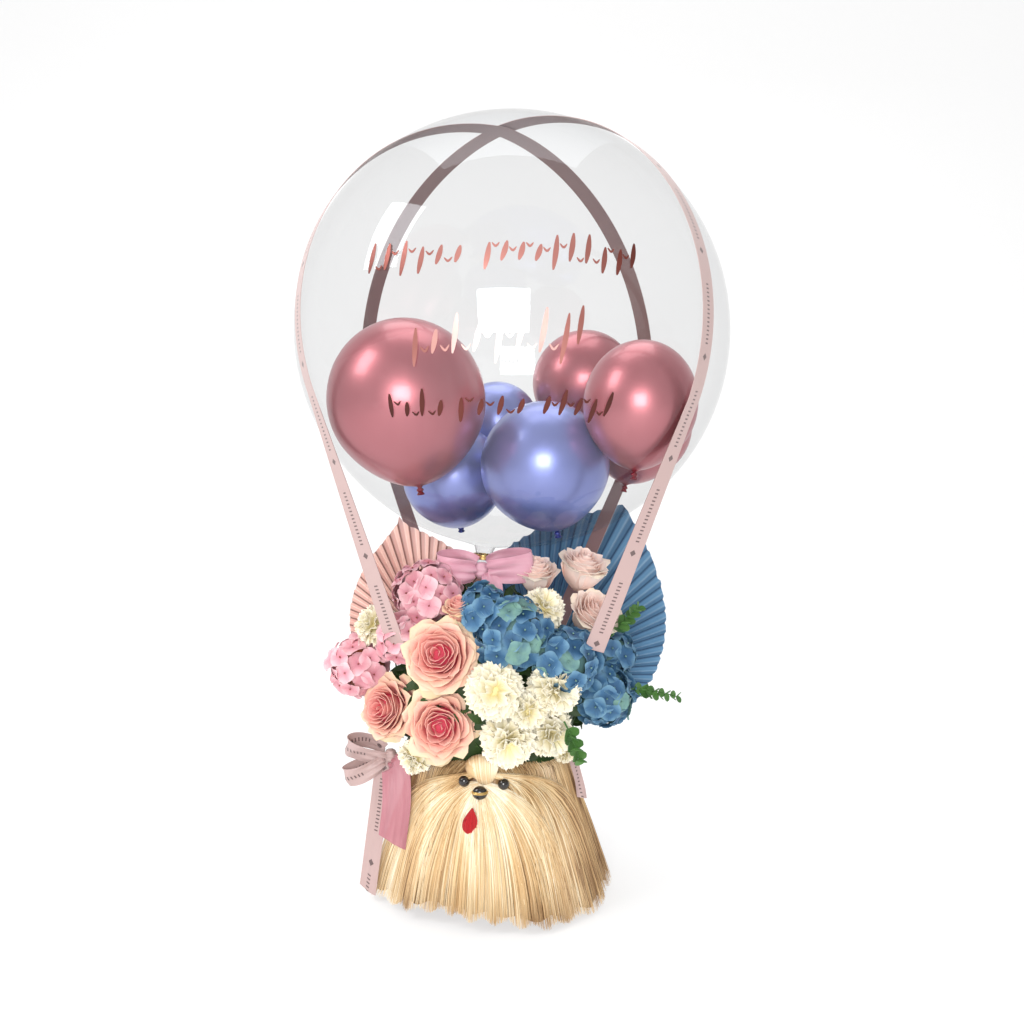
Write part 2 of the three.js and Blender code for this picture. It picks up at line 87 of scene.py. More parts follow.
def unit(vectors):
    """The vectors at length one."""
    return vectors / np.maximum(np.linalg.norm(vectors, axis=-1, keepdims=True), 1e-12)


def bump(offset, spread):
    """A smooth hump of height one round zero."""
    return np.exp(-((offset / spread) ** 2))


def turn_between(azimuth, other):
    """How far azimuth lies from other, from -180 to 180 degrees."""
    return (azimuth - other + 180) % 360 - 180


def heading(azimuth):
    """The level direction at an azimuth in degrees."""
    angle = np.radians(azimuth)
    return np.stack([np.cos(angle), np.sin(angle), np.zeros_like(angle)], -1)


def around_axis(azimuths, radii, heights):
    """Places at azimuths in degrees, radii from the Z axis and heights."""
    places = heading(azimuths) * radii[..., None]
    places[..., 2] = heights
    return places


def frame_from(axis):
    """A turn whose third column is axis and whose second leans towards +Z."""
    third = unit(np.array(axis, float))
    first = unit(np.cross([0.0, 0.0, 1.0], third))
    return np.stack([first, np.cross(third, first), third], -1)


def grid_quads(rows, columns, closed):
    """The corners of a grid's quads. With closed, the last column meets the first."""
    ring = np.arange(columns if closed else columns - 1)
    following = (ring + 1) % columns
    base = (np.arange(rows - 1) * columns)[:, None]
    corners = [base + ring, base + following, base + columns + following, base + columns + ring]
    return np.stack(corners, -1).reshape(-1, 4)


class Mesh:
    """Points, faces, UVs and two values per point, tint and tone, gathered into one object."""

    def __init__(self):
        self.points = []
        self.faces = {3: [], 4: []}
        self.values = []
        self.count = 0

    def add(self, points, quads, values, triangles=None):
        """points (sets, n, 3) share one set of faces; values (sets, n, 4) are u, v, tint and tone."""
        sets, per_set = points.shape[:2]
        starts = self.count + per_set * np.arange(sets)[:, None, None]
        self.points.append(points.reshape(-1, 3))
        self.values.append(values.reshape(-1, 4))
        self.faces[4].append((quads[None] + starts).reshape(-1, 4))
        if triangles is not None:
            self.faces[3].append((triangles[None] + starts).reshape(-1, 3))
        self.count += sets * per_set

    def sheets(self, grids, thickness, tint=0.5, tone=0.5):
        """Thin closed sheets, each a grid (sheets, rows, columns, 3), over which tint and tone are spread."""
        sheets, rows, columns = grids.shape[:3]
        along = np.gradient(grids, axis=1)
        across = np.gradient(grids, axis=2)
        lift = 0.5 * thickness * unit(np.cross(across, along))
        points = np.concatenate([grids + lift, (grids - lift)[:, :, ::-1]], 2)
        sides = grid_values(sheets, rows, columns, tint, tone)
        values = np.concatenate([sides, sides[:, :, ::-1]], 2)
        loop = 2 * columns
        quads = grid_quads(rows, loop, closed=True)
        step = np.arange(columns - 1)
        first = np.stack([loop - 1 - step, loop - 2 - step, step + 1, step], -1)
        last = np.stack([step, step + 1, loop - 2 - step, loop - 1 - step], -1) + (rows - 1) * loop
        self.add(
            points.reshape(sheets, rows * loop, 3),
            np.concatenate([quads, first, last]),
            values.reshape(sheets, rows * loop, 4),
        )

    def tubes(self, grids, tint=0.5, tone=0.5):
        """Closed round bodies (bodies, rows, sides, 3), each end row capped by a fan round its middle."""
        bodies, rows, sides = grids.shape[:3]
        ends = grids[:, [0, -1]].mean(2)
        points = np.concatenate([grids.reshape(bodies, rows * sides, 3), ends], 1)
        values = grid_values(bodies, rows, sides, tint, tone).reshape(bodies, rows * sides, 4)
        values = np.concatenate([values, values[:, [0, -1]]], 1)
        ring = np.arange(sides)
        following = (ring + 1) % sides
        low = np.stack([following, ring, np.full(sides, rows * sides)], -1)
        top = (rows - 1) * sides
        high = np.stack([top + ring, top + following, np.full(sides, rows * sides + 1)], -1)
        self.add(points, grid_quads(rows, sides, closed=True), values, np.concatenate([low, high]))

    def build(self, name, material, replaces=(), sharp=50):
        """Makes the object, smooth except over edges of more than sharp degrees, and puts it on the root."""
        points = np.concatenate(self.points)
        values = np.concatenate(self.values)
        quads = np.concatenate(self.faces[4])
        triangles = np.concatenate(self.faces[3]) if self.faces[3] else np.zeros((0, 3), int)
        corners = np.concatenate([quads.ravel(), triangles.ravel()]).astype(np.int32)
        starts = np.concatenate([4 * np.arange(len(quads)), 4 * len(quads) + 3 * np.arange(len(triangles))])
        mesh = bpy.data.meshes.new(name)
        mesh.vertices.add(len(points))
        mesh.vertices.foreach_set("co", points.astype(np.float32).ravel())
        mesh.loops.add(len(corners))
        mesh.loops.foreach_set("vertex_index", corners)
        mesh.polygons.add(len(starts))
        mesh.polygons.foreach_set("loop_start", starts.astype(np.int32))
        mesh.update(calc_edges=True)
        layer = mesh.uv_layers.new(name="UVMap")
        layer.data.foreach_set("uv", values[corners, :2].astype(np.float32).ravel())
        for column, label in ((2, "tint"), (3, "tone")):
            attribute = mesh.attributes.new(label, "FLOAT", "POINT")
            attribute.data.foreach_set("value", values[:, column].astype(np.float32))
        mesh.shade_smooth()
        mesh.set_sharp_from_angle(angle=math.radians(sharp))
        mesh.materials.append(material)
        piece = bpy.data.objects.new(name, mesh)
        bpy.context.scene.collection.objects.link(piece)
        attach(piece, "root")
        if replaces:
            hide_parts(*replaces)
        return piece


def grid_values(sheets, rows, columns, tint, tone):
    """UVs that run over each grid, u over the columns and v over the rows, with its tint and tone."""
    values = np.zeros((sheets, rows, columns, 4))
    values[..., 0] = np.linspace(0, 1, columns)
    values[..., 1] = np.linspace(0, 1, rows)[:, None]
    values[..., 2] = np.broadcast_to(tint, (sheets, rows, columns))
    values[..., 3] = np.broadcast_to(tone, (sheets, rows, columns))
    return values


def per_sheet(values):
    """One value for each sheet or petal, in a shape that spreads over its grid."""
    return np.asarray(values)[:, None, None]


def turned(profile, sides):
    """A round body about Z from its profile (n, 2) of radius and height, as one grid for Mesh.tubes."""
    azimuths = np.linspace(0, 360, sides, endpoint=False)
    return around_axis(azimuths, profile[:, :1], profile[:, 1:])[None]


def ball_profile(rows, tip):
    """The profile of a ball of radius one for turned, with both ends cut off at the radius tip."""
    angles = np.radians(np.linspace(-90, 90, rows))
    return np.stack([np.maximum(np.cos(angles), tip), np.sin(angles)], -1)


def petal_steps(rows, columns):
    """v from 0 at a petal's root to 1 at its rim, and u from -1 to 1 across it, to be spread over a grid."""
    return np.linspace(0, 1, rows)[:, None], np.linspace(-1, 1, columns)[None]


def strip(places, facings, width, columns):
    """A flat strip (1, rows, columns, 3) through places, turned to face along facings."""
    along = unit(np.gradient(places, axis=0))
    side = unit(np.cross(facings, along))
    across = np.linspace(-0.5, 0.5, columns)[None, :, None]
    width = np.broadcast_to(width, len(places))[:, None, None]
    return (places[:, None] + side[:, None] * across * width)[None]


def tube_line(places, radii, sides=6):
    """A round tube (1, rows, sides, 3) along places."""
    along = unit(np.gradient(places, axis=0))
    hint = np.where(np.abs(along[:, 2:]) > 0.9, [[1.0, 0, 0]], [[0, 0, 1.0]])
    side = unit(np.cross(along, hint))
    up = np.cross(along, side)
    turn = np.linspace(0, 2 * math.pi, sides, endpoint=False)
    ring = side[:, None] * np.cos(turn)[None, :, None] + up[:, None] * np.sin(turn)[None, :, None]
    radii = np.broadcast_to(radii, len(places))[:, None, None]
    return (places[:, None] + ring * radii)[None]


def smooth_line(points, count):
    """count places along a smooth curve through a few given points, evenly spaced in their order."""
    points = np.asarray(points, float)
    padded = np.concatenate([[2 * points[0] - points[1]], points, [2 * points[-1] - points[-2]]])
    t = np.linspace(0, len(points) - 1, count)
    start = np.minimum(t.astype(int), len(points) - 2)
    f = (t - start)[:, None]
    a, b, c, d = (padded[start + k] for k in range(4))
    return 0.5 * (2 * b + (c - a) * f + (2 * a - 5 * b + 4 * c - d) * f**2 + (3 * b - a - 3 * c + d) * f**3)


# ---- Materials -----------------------------------------------------------------------------------


def colour(code):
    """A linear colour from a hex code of the colour as seen."""
    seen = [int(code[i:i + 2], 16) / 255 for i in (0, 2, 4)]
    return [c / 12.92 if c <= 0.04045 else ((c + 0.055) / 1.055) ** 2.4 for c in seen] + [1.0]


class Paint:
    """A material round one Principled shader, with short calls that add nodes to it."""

    def __init__(self, name, base, roughness, **values):
        self.material = bpy.data.materials.new(name)
        self.material.use_nodes = True
        self.tree = self.material.node_tree
        self.shader = self.tree.nodes["Principled BSDF"]
        self.set("Base Color", colour(base))
        self.set("Roughness", roughness)
        for socket, value in values.items():
            self.set(socket.replace("_", " ").title().replace("Ior", "IOR"), value)

    def set(self, socket, value):
        """Links a node's output to a socket of the shader, or gives the socket a plain value."""
        target = self.shader.inputs[socket]
        if isinstance(value, bpy.types.NodeSocket):
            self.tree.links.new(value, target)
        else:
            target.default_value = value

    def node(self, kind, inputs, output=0, **settings):
        """Adds a node; inputs maps its sockets to plain values or to other nodes' outputs."""
        node = self.tree.nodes.new(kind)
        for key, value in settings.items():
            setattr(node, key, value)
        for socket, value in inputs.items():
            if isinstance(value, bpy.types.NodeSocket):
                self.tree.links.new(value, node.inputs[socket])
            else:
                node.inputs[socket].default_value = value
        return node.outputs[output]

    def value(self, attribute):
        """The tint or tone that the mesh carries."""
        return self.node("ShaderNodeAttribute", {}, "Fac", attribute_name=attribute)

    def place(self, stretch=(1, 1, 1), uv=False):
        """The place on the object, or in its UV square, stretched along each axis."""
        source = self.node("ShaderNodeTexCoord", {}, "UV" if uv else "Object")
        return self.node("ShaderNodeMapping", {"Vector": source, "Scale": stretch})

    def noise(self, scale, detail=3.0, place=None):
        inputs = {"Vector": place or self.place(), "Scale": scale, "Detail": detail}
        return self.node("ShaderNodeTexNoise", inputs, "Fac")

    def math(self, operation, a, b=0.0, c=0.0):
        return self.node("ShaderNodeMath", {0: a, 1: b, 2: c}, operation=operation)

    def plus(self, a, b):
        return self.math("ADD", a, b)

    def times(self, a, b):
        return self.math("MULTIPLY", a, b)

    def ramp(self, factor, *stops):
        """A colour from a factor through stops, each a place from 0 to 1 and a hex code."""
        ramp = self.tree.nodes.new("ShaderNodeValToRGB")
        elements = ramp.color_ramp.elements
        while len(elements) < len(stops):
            elements.new(0.5)
        for element, (at, code) in zip(elements, stops):
            element.position = at
            element.color = colour(code)
        self.tree.links.new(factor, ramp.inputs[0])
        return ramp.outputs[0]

    def mix(self, factor, a, b, blend="MIX"):
        inputs = {0: factor, 6: a, 7: b}
        return self.node("ShaderNodeMix", inputs, 2, data_type="RGBA", blend_type=blend)

    def relief(self, height, distance, strength=1.0):
        """Bends the shading as if the surface rose by height times distance, in metres."""
        inputs = {"Height": height, "Distance": distance, "Strength": strength}
        self.set("Normal", self.node("ShaderNodeBump", inputs))

    def finished(self, base, height, distance, strength=1.0):
        """Gives the material its colour and relief, and hands it over."""
        self.set("Base Color", base)
        self.relief(height, distance, strength)
        return self.material


def film_paint():
    """Clear film: nearly everything passes, and the rest mirrors the room."""
    edge = (0.2, 0.21, 0.22, 1)
    return Paint("bubble_film", "8d9093", 0.02, metallic=1.0, alpha=0.15, specular_tint=edge).material


def balloon_paint(name, dark, light, knot):
    """Pearl latex: a metallic sheen under a clear gloss, and a deeper colour in the slack knot."""
    paint = Paint(name, light, 0.36, metallic=0.7, coat_weight=0.3, coat_roughness=0.06)
    mottle = paint.noise(9, 2)
    body = paint.mix(mottle, colour(dark), colour(light))
    paint.set("Base Color", paint.mix(paint.value("tone"), colour(knot), body))
    paint.set("Roughness", paint.math("MULTIPLY_ADD", mottle, 0.08, 0.32))
    return paint.material


# ---- Bubble balloon ------------------------------------------------------------------------------

LEANING = np.array([
    [math.cos(BUBBLE_LEAN), 0, math.sin(BUBBLE_LEAN)],
    [0, 1, 0],
    [-math.sin(BUBBLE_LEAN), 0, math.cos(BUBBLE_LEAN)],
])
BUBBLE_SIZE = np.array([BUBBLE_RADIUS, BUBBLE_RADIUS, BUBBLE_HALF_HEIGHT])
FILM_INSET = 0.5 * MM  # how far the film's mesh lies inside its solid's face
FILM_SIDES = 192
CREASE_FROM = 0.66  # how far down the bubble the creases begin, in parts of its half height


def in_bubble(points):
    """Points given about the bubble's own leaning axis, in the frame."""
    return points @ LEANING.T + BUBBLE_MIDDLE


def on_unit_ball(point):
    """A point of the frame as it would lie if the bubble were a ball of radius one about the origin."""
    return ((point - BUBBLE_MIDDLE) @ LEANING) / BUBBLE_SIZE


def bubble_film():
    """The film, with the soft creases that run up from the gathered neck, and the fluted neck itself."""
    angles = np.radians(np.concatenate([np.linspace(90, -60, 44), np.linspace(-61.5, -84, 20)]))
    ball = np.stack([np.cos(angles), np.sin(angles)], -1) * (BUBBLE_SIZE[1:] - FILM_INSET)
    ball[0, 0] = 0.4 * MM
    neck_heights = np.linspace(-BUBBLE_HALF_HEIGHT - 1 * MM, -NECK_TO, 12)
    neck_rise = (neck_heights + NECK_TO) / (NECK_TO - BUBBLE_HALF_HEIGHT)
    neck_radii = NECK_RADIUS * (0.72 + 0.7 * neck_rise**3 + 0.2 * (1 - neck_rise) ** 2)
    profile = np.concatenate([ball, np.stack([neck_radii, neck_heights], -1)])
    grid = turned(profile, FILM_SIDES)
    turn = np.linspace(0, 2 * math.pi, FILM_SIDES, endpoint=False)
    below = np.clip(-profile[:, 1] / BUBBLE_HALF_HEIGHT, 0, 1.2)
    crease = 0.5 * np.sin(24 * turn) + 0.3 * np.sin(37 * turn + 1) + 0.2 * np.sin(61 * turn + 2)
    deepening = np.clip((below - CREASE_FROM) / (1 - CREASE_FROM), 0, 1) ** 2
    depth = np.minimum(0.08 * profile[:, 0], 2.6 * MM) * deepening
    depth[-len(neck_radii):] = 1.2 * MM
    grid[0, :, :, :2] *= 1 + (depth[:, None] * crease / np.maximum(profile[:, :1], 1 * MM))[..., None]
    mesh = Mesh()
    mesh.tubes(in_bubble(grid[:, ::-1]))
    mesh.build("bubble_film", film_paint(), ["bubble"])


# Small balloons sealed in the bubble: where from its middle, the radius, how much taller than wide, where the
# knot points, and the colour.
INNER_BALLOONS = {
    "inner_balloon_rose_front_left": (mm(-128, -84, -92), 96, 1.04, (0.16, -0.1, -1), "rose"),
    "inner_balloon_rose_front_right": (mm(153, -104, -98), 68, 1.12, (-0.1, -0.1, -1), "rose"),
    "inner_balloon_rose_right": (mm(171, 31, -110), 73, 1.04, (-0.2, 0.1, -1), "rose"),
    "inner_balloon_rose_back": (mm(108, 142, -34), 77, 1.03, (-0.3, -0.4, -1), "rose"),
    "inner_balloon_blue_front": (mm(42, -40, -168), 82, 1.0, (0.2, 0.3, -1), "blue"),
    "inner_balloon_blue_left": (mm(-80, 50, -178), 71, 1.0, (0.1, 0.5, -1), "blue"),
    "inner_balloon_blue_back": (mm(-22, 130, -96), 62, 1.0, (0.1, 0.2, -1), "blue"),
}


def inner_balloon(name, place, radius, tall, knot_way, finish, paints):
    """A small blown balloon, drawn in towards its rolled knot."""
    radius = radius * MM
    angles = np.radians(np.linspace(90, -82, 36))
    pull = np.clip(-np.sin(angles), 0, 1) ** 3
    around = radius * np.cos(angles) * (1 - 0.12 * pull)
    height = radius * tall * np.sin(angles) * (1 + 0.05 * pull)
    around[0] = 0.3 * MM
    foot = height[-1]
    knot = mm([4, -2], [2.4, -4], [4.2, -6], [4.4, -7.5], [2.8, -9], [4.8, -12], [4.2, -12.6], [1, -11])
    knot[:, 1] += foot
    profile = np.concatenate([np.stack([around, height], -1), knot])
    grid = turned(profile, 48)
    tone = np.where(np.arange(len(profile)) < len(around), 1.0, 0.0)[::-1][None, :, None]
    turn = frame_from(-np.array(knot_way))
    mesh = Mesh()
    mesh.tubes((grid @ turn.T + BUBBLE_MIDDLE + place)[:, ::-1], tone=tone)
    mesh.build(name, paints[finish])


def inner_balloons():
    paints = {
        "rose": balloon_paint("balloon_rose", "b2626b", "c67b82", "8e1f30"),
        "blue": balloon_paint("balloon_blue", "7a85c6", "929cd6", "3d4a94"),
    }
    for name, facts in INNER_BALLOONS.items():
        inner_balloon(name, *facts, paints)


# ---- Ribbons over the bubble ---------------------------------------------------------------------

# The ribbon's print: one diamond, then a row of short bars up to a gap before the next diamond.
PRINT_REPEAT = 118 * MM
PRINT_MARK_AT = 9 * MM
PRINT_MARK_HALF = 4.2 * MM
PRINT_BAR_PITCH = 4.6 * MM
PRINT_BAR_SHARE = 0.38
PRINT_BAR_HALF = 2.6 * MM
PRINT_BARS_FROM = PRINT_MARK_AT + 12 * MM
PRINT_BARS_TO = 0.78 * PRINT_REPEAT


def distance_along(places):
    """How far each place lies along a strip, in a shape that spreads over its grid, for the print."""
    steps = np.linalg.norm(np.diff(places, axis=0), axis=1)
    return np.concatenate([[0], np.cumsum(steps)])[None, :, None]


def leg_route(side, end, end_facing, crossing_lift):
    """One leg of a ribbon from the crossing down the film, then straight to its end: places and facings."""
    up = unit(on_unit_ball(RIBBON_CROSSING))
    down = on_unit_ball(BUBBLE_MIDDLE + heading(side))
    down = unit(down - up * (down @ up))
    tucked = on_unit_ball(end)
    rise, run = tucked @ up, tucked @ down
    leaves = math.atan2(run, rise) - math.acos(1 / math.hypot(run, rise))
    angles = np.linspace(0, leaves, 90)[:, None]
    on_ball = up * np.cos(angles) + down * np.sin(angles)
    facing = unit((on_ball / BUBBLE_SIZE) @ LEANING.T)
    lift = RIBBON_LIFT + crossing_lift * bump(np.degrees(angles), RIBBON_CROSSING_SPREAD)
    places = in_bubble(on_ball * BUBBLE_SIZE) + facing * lift
    t = np.linspace(0, 1, 30)[1:, None]
    straight = places[-1] + (end - places[-1]) * t
    turning = unit(facing[-1] + (heading(end_facing) - facing[-1]) * t)
    return np.concatenate([places, straight]), np.concatenate([facing, turning])


def ribbon_paint(name, shade_inner_face):
    """Satin ribbon: a fine weave, and a plain print of a diamond and short bars that repeats, no lettering.

    When set, the side that lies against the bubble is given painted shade, a darker mauve.
    """
    paint = Paint(name, "cfb0b0", 0.4, sheen_weight=0.25, sheen_roughness=0.4)
    weave = paint.noise(1, 2, paint.place((900, 9000, 9000)))
    across = paint.node("ShaderNodeSeparateXYZ", {0: paint.place(uv=True)}, "X")
    across = paint.math("MULTIPLY_ADD", across, RIBBON_WIDTH, -0.5 * RIBBON_WIDTH)
    along = paint.math("MODULO", paint.value("tone"), PRINT_REPEAT)
    from_mark = paint.math("ABSOLUTE", paint.math("SUBTRACT", along, PRINT_MARK_AT))
    from_middle = paint.math("ABSOLUTE", across)
    diamond = paint.math("LESS_THAN", paint.plus(from_mark, from_middle), PRINT_MARK_HALF)
    in_pitch = paint.math("MODULO", along, PRINT_BAR_PITCH)
    bars = paint.math("LESS_THAN", in_pitch, PRINT_BAR_SHARE * PRINT_BAR_PITCH)
    low = paint.math("LESS_THAN", from_middle, PRINT_BAR_HALF)
    after = paint.math("GREATER_THAN", along, PRINT_BARS_FROM)
    before = paint.math("LESS_THAN", along, PRINT_BARS_TO)
    bars = paint.times(paint.times(bars, low), paint.times(after, before))
    shade = paint.mix(paint.times(weave, 0.22), colour("bfa4a0"), colour("98797a"))
    printed = paint.times(paint.math("MAXIMUM", diamond, bars), 0.8)
    base = paint.mix(printed, shade, colour("3d2c2e"))
    if shade_inner_face:
        # Painted shade: the face that looks in towards the bubble's middle is mixed to a dark mauve.
        offset = {0: paint.place(), 1: tuple(BUBBLE_MIDDLE)}
        outward = paint.node("ShaderNodeVectorMath", offset, operation="SUBTRACT")
        facing = {0: outward, 1: paint.node("ShaderNodeNewGeometry", {}, "Normal")}
        facing_out = paint.node("ShaderNodeVectorMath", facing, "Value", operation="DOT_PRODUCT")
        base = paint.mix(paint.math("LESS_THAN", facing_out, 0.0), base, colour("8f706c"))
    return paint.finished(base, weave, 0.05 * MM)


def ribbon(name, paint):
    first, second, crossing_lift = RIBBONS[name]
    near, near_facing = leg_route(*RIBBON_LEGS[first], crossing_lift)
    far, far_facing = leg_route(*RIBBON_LEGS[second], crossing_lift)
    places = np.concatenate([near[::-1], far[1:]])
    facings = np.concatenate([near_facing[::-1], far_facing[1:]])
    mesh = Mesh()
    mesh.sheets(strip(places, facings, RIBBON_WIDTH, 7), RIBBON_THICKNESS, tone=distance_along(places))
    piece = mesh.build(f"{name}_satin", paint, [name])


# ---- Flower heads --------------------------------------------------------------------------------

MOUND_MIDDLE = mm(0, 0, 262)  # every head looks away from here
# The middle of each head and its radius, in millimetres. Those that close the back follow in BACK_ROWS.
HEADS = {
    "rose_front_upper": (-57, -111, 318, 44),
    "rose_front_lower": (-56, -108, 233, 43),
    "rose_left": (-130, -62, 243, 39),
    "rose_top_middle": (60, -22, 408, 29),
    "rose_top_right": (122, -14, 414, 33),
    "rose_right": (134, -30, 355, 35),
    "bud_upper_left": (-35, -84, 370, 20),
    "carnation_middle": (9, -124, 278, 35),
    "carnation_middle_right": (78, -106, 277, 33),
    "carnation_front_lower": (24, -106, 217, 34),
    "carnation_right_lower": (73, -92, 222, 31),
    "carnation_centre": (47, -116, 254, 25),
    "carnation_top": (66, -72, 366, 28),
    "carnation_left": (-143, -40, 342, 27),
    "carnation_left_lower": (-88, -84, 190, 22),
    "carnation_right_small": (95, -62, 189, 15),
    "hydrangea_pink_top": (-78, -40, 384, 43),
    "hydrangea_pink_left": (-166, -20, 290, 41),
    "hydrangea_pink_middle": (-108, -62, 330, 28),
    "hydrangea_blue_middle": (28, -92, 338, 47),
    "hydrangea_blue_upper_left": (-4, -86, 366, 32),
    "hydrangea_blue_front": (92, -92, 308, 40),
    "hydrangea_blue_right": (143, -40, 258, 42),
    "hydrangea_blue_upper_right": (160, -24, 304, 28),
}
BACK_ROWS = [
    # height, reach, radius, first and last azimuth, kinds in turn, and how many
    (236, 112, 40, 28, 186, ("rose", "hydrangea", "carnation"), 6),
    (308, 90, 36, 76, 112, ("hydrangea", "rose"), 2),
]
# Some roses stand on their stems and are seen from the side; the others look straight out of the mound.
ROSE_LEANS = {
    "rose_top_middle": (0.05, -0.45, 1.0),
    "rose_top_right": (0.25, -0.45, 1.0),
    "rose_right": (0.35, -0.7, 0.7),
    "bud_upper_left": (-0.1, -0.5, 1.0),
    "rose_left": (-0.45, -0.75, 0.2),
    "rose_front_upper": (-0.1, -1.0, 0.25),
    "rose_front_lower": (0.0, -1.0, 0.12),
}
UPRIGHT_ROSES = ("rose_top_middle", "rose_top_right", "rose_right")
ROSE_PETALS = 38
CARNATION_PETALS = 54  # on a carnation of CARNATION_FULL radius; a smaller one has fewer
CARNATION_FULL = 33 * MM
FLORETS = 44  # on a hydrangea of HYDRANGEA_FULL radius, and in proportion to the ball on the others
HYDRANGEA_FULL = 43 * MM
FLORET_SIZE = 14 * MM
PETAL_TURN = 137.5  # degrees from each petal to the next one in a spiral
FLORET_TURN = 137.508  # and from each floret to the next


def all_heads():
    """Every head's kind, middle and radius, by the name of its node."""
    heads = {name: (name.split("_")[0], mm(*facts[:3]), facts[3] * MM) for name, facts in HEADS.items()}
    for level, (height, reach, radius, first, last, kinds, count) in enumerate(BACK_ROWS, 1):
        for i, azimuth in enumerate(np.linspace(first, last, count)):
            kind = kinds[i % len(kinds)]
            place = heading(azimuth) * reach * MM + mm(0, 0, height)
            heads[f"{kind}_back_{level}_{i + 1}"] = (kind, place, radius * MM)
    return heads


def ball_core(mesh, radius, tone=0.0, drop=0.0):
    """A plain body inside a bloom, drop below its middle, so that nothing shows through between petals."""
    profile = ball_profile(8, 0.02) * radius - [0, drop]
    mesh.tubes(turned(profile, 12), tint=0.2, tone=tone)


def rose_petals(radius, petals, openness, random):
    """Cupped petals in a spiral from the tight heart outwards. Tone is lowest at the heart."""
    v, u = petal_steps(8, 9)
    t = np.linspace(0, 1, petals)
    age = per_sheet(t)
    turn = per_sheet(np.radians(PETAL_TURN * np.arange(petals) + random.uniform(-14, 14, petals)))
    half = per_sheet(np.radians(88 - 42 * t**0.7 + random.uniform(-5, 5, petals)))
    loose = per_sheet(random.normal(0, 0.035, petals)) * age
    reach = radius * (0.06 + 0.84 * age ** (0.9 - 0.2 * openness) + loose)
    uneven = per_sheet(random.uniform(-0.04, 0.04, petals))
    top = radius * (0.52 - (0.22 + 0.45 * openness) * age**1.7 + uneven)
    base = -0.72 * radius
    edge = 1 - 0.16 * u**2 - 0.05 * u**4 + 0.05 * bump(u, 0.25) * age
    rise = v * edge
    narrow = 0.35 + 0.65 * np.sin(np.minimum(v * 1.15, 1) * math.pi / 2)
    angle = turn + u * half * narrow * (1 - 0.12 * v * age)
    cup = np.sin(np.minimum(rise * 1.25, 1) * math.pi / 2) ** 0.8
    curl = np.clip((rise - 0.70) / 0.30, 0, 1.2) ** 2 * (0.15 + age)
    side_curl = u**4 * v * age
    sway = per_sheet(random.uniform(0, 6.28, petals))
    wave = 0.06 * radius * np.sin(4.5 * u + sway) * v**2 * (0.3 + age)
    wave = wave + 0.035 * radius * np.sin(8 * u + 2 * sway) * v**4 * (0.3 + age)
    out = 0.1 * radius + (reach - 0.1 * radius) * cup + radius * (0.20 * curl + 0.07 * side_curl) + wave
    height = base + (top - base) * rise - radius * (0.17 * curl + 0.05 * side_curl) + 0.5 * wave
    points = np.stack([out * np.cos(angle), out * np.sin(angle), np.broadcast_to(height, angle.shape)], -1)
    rim = np.clip(np.maximum(rise, 0.75 * np.abs(u) * v), 0, 1)
    return points, 0.04 + 0.34 * age + (0.5 + 0.14 * age) * rim**1.6


def rose(mesh, radius, random, openness):
    """A rose. openness is 1 when it is blown open, and under 0.5 while it still stands tall."""
    ball_core(mesh, 0.5 * radius, drop=0.28 * radius)
    points, tone = rose_petals(radius, ROSE_PETALS, openness, random)
    if openness < 0.5:
        points = points * [0.98, 0.98, 1.45]
    mesh.sheets(points, 0.5 * MM, tint=per_sheet(random.uniform(0, 1, len(points))), tone=tone)


def carnation(mesh, radius, random):
    """Frilled petals that spread from one cup, the inner ones upright. Tone is lowest deep in the cup."""
    ball_core(mesh, 0.36 * radius, tone=0.3)
    petals = int(CARNATION_PETALS * np.clip(radius / CARNATION_FULL, 0.5, 1))
    columns = 13
    v, u = petal_steps(6, columns)
    t = (np.arange(petals) + 0.5) / petals
    tilt = per_sheet(np.radians(2 + 108 * t**0.78 + random.uniform(-9, 9, petals)))
    turn = per_sheet(np.radians(PETAL_TURN * np.arange(petals) + random.uniform(-20, 20, petals)))
    phase = per_sheet(random.uniform(0, 6.28, petals))
    tooth = np.where(np.arange(columns) % 2 == 0, 1.0, 0.0)
    length = radius * (1.12 + per_sheet(random.uniform(-0.07, 0.07, petals))) * (1 - 0.09 * u**2)
    along = length * (v - 0.09 * tooth * v**4) - 0.14 * radius
    half = radius * 0.47 * (0.18 + 0.82 * v)
    frill = radius * 0.105 * v**2 * (np.sin(6.5 * u + phase) + 0.5 * np.sin(13 * u + 2 * phase))
    bend = 0.28 * radius * v**2.2
    axis = np.stack([np.sin(tilt) * np.cos(turn), np.sin(tilt) * np.sin(turn), np.cos(tilt)], -1)
    side = np.stack([-np.sin(turn), np.cos(turn), 0 * turn], -1)
    back = np.cross(side, axis)
    lift = frill + bend - 0.3 * half * u**2
    points = axis * along[..., None] + side * (half * u)[..., None] + back * lift[..., None]
    tints = per_sheet(random.uniform(0, 1, petals))
    mesh.sheets(points, 0.4 * MM, tint=tints, tone=0.15 + 0.85 * v**1.5)


def spread_on_ball(count, furthest):
    """count directions spread evenly over a ball, out to the angle furthest from +Z in degrees."""
    lowest = math.cos(math.radians(furthest))
    height = 1 - (1 - lowest) * (np.arange(count) + 0.5) / count
    turn = np.radians(FLORET_TURN) * np.arange(count)
    level = np.sqrt(1 - height**2)
    return np.stack([level * np.cos(turn), level * np.sin(turn), height], -1)


def spins_about_z(angles):
    """Turns (angles, 3, 3) about +Z, by angles in radians."""
    cos, sin, zero = np.cos(angles), np.sin(angles), np.zeros(len(angles))
    rows = [[cos, -sin, zero], [sin, cos, zero], [zero, zero, zero + 1]]
    return np.array(rows).transpose(2, 0, 1)


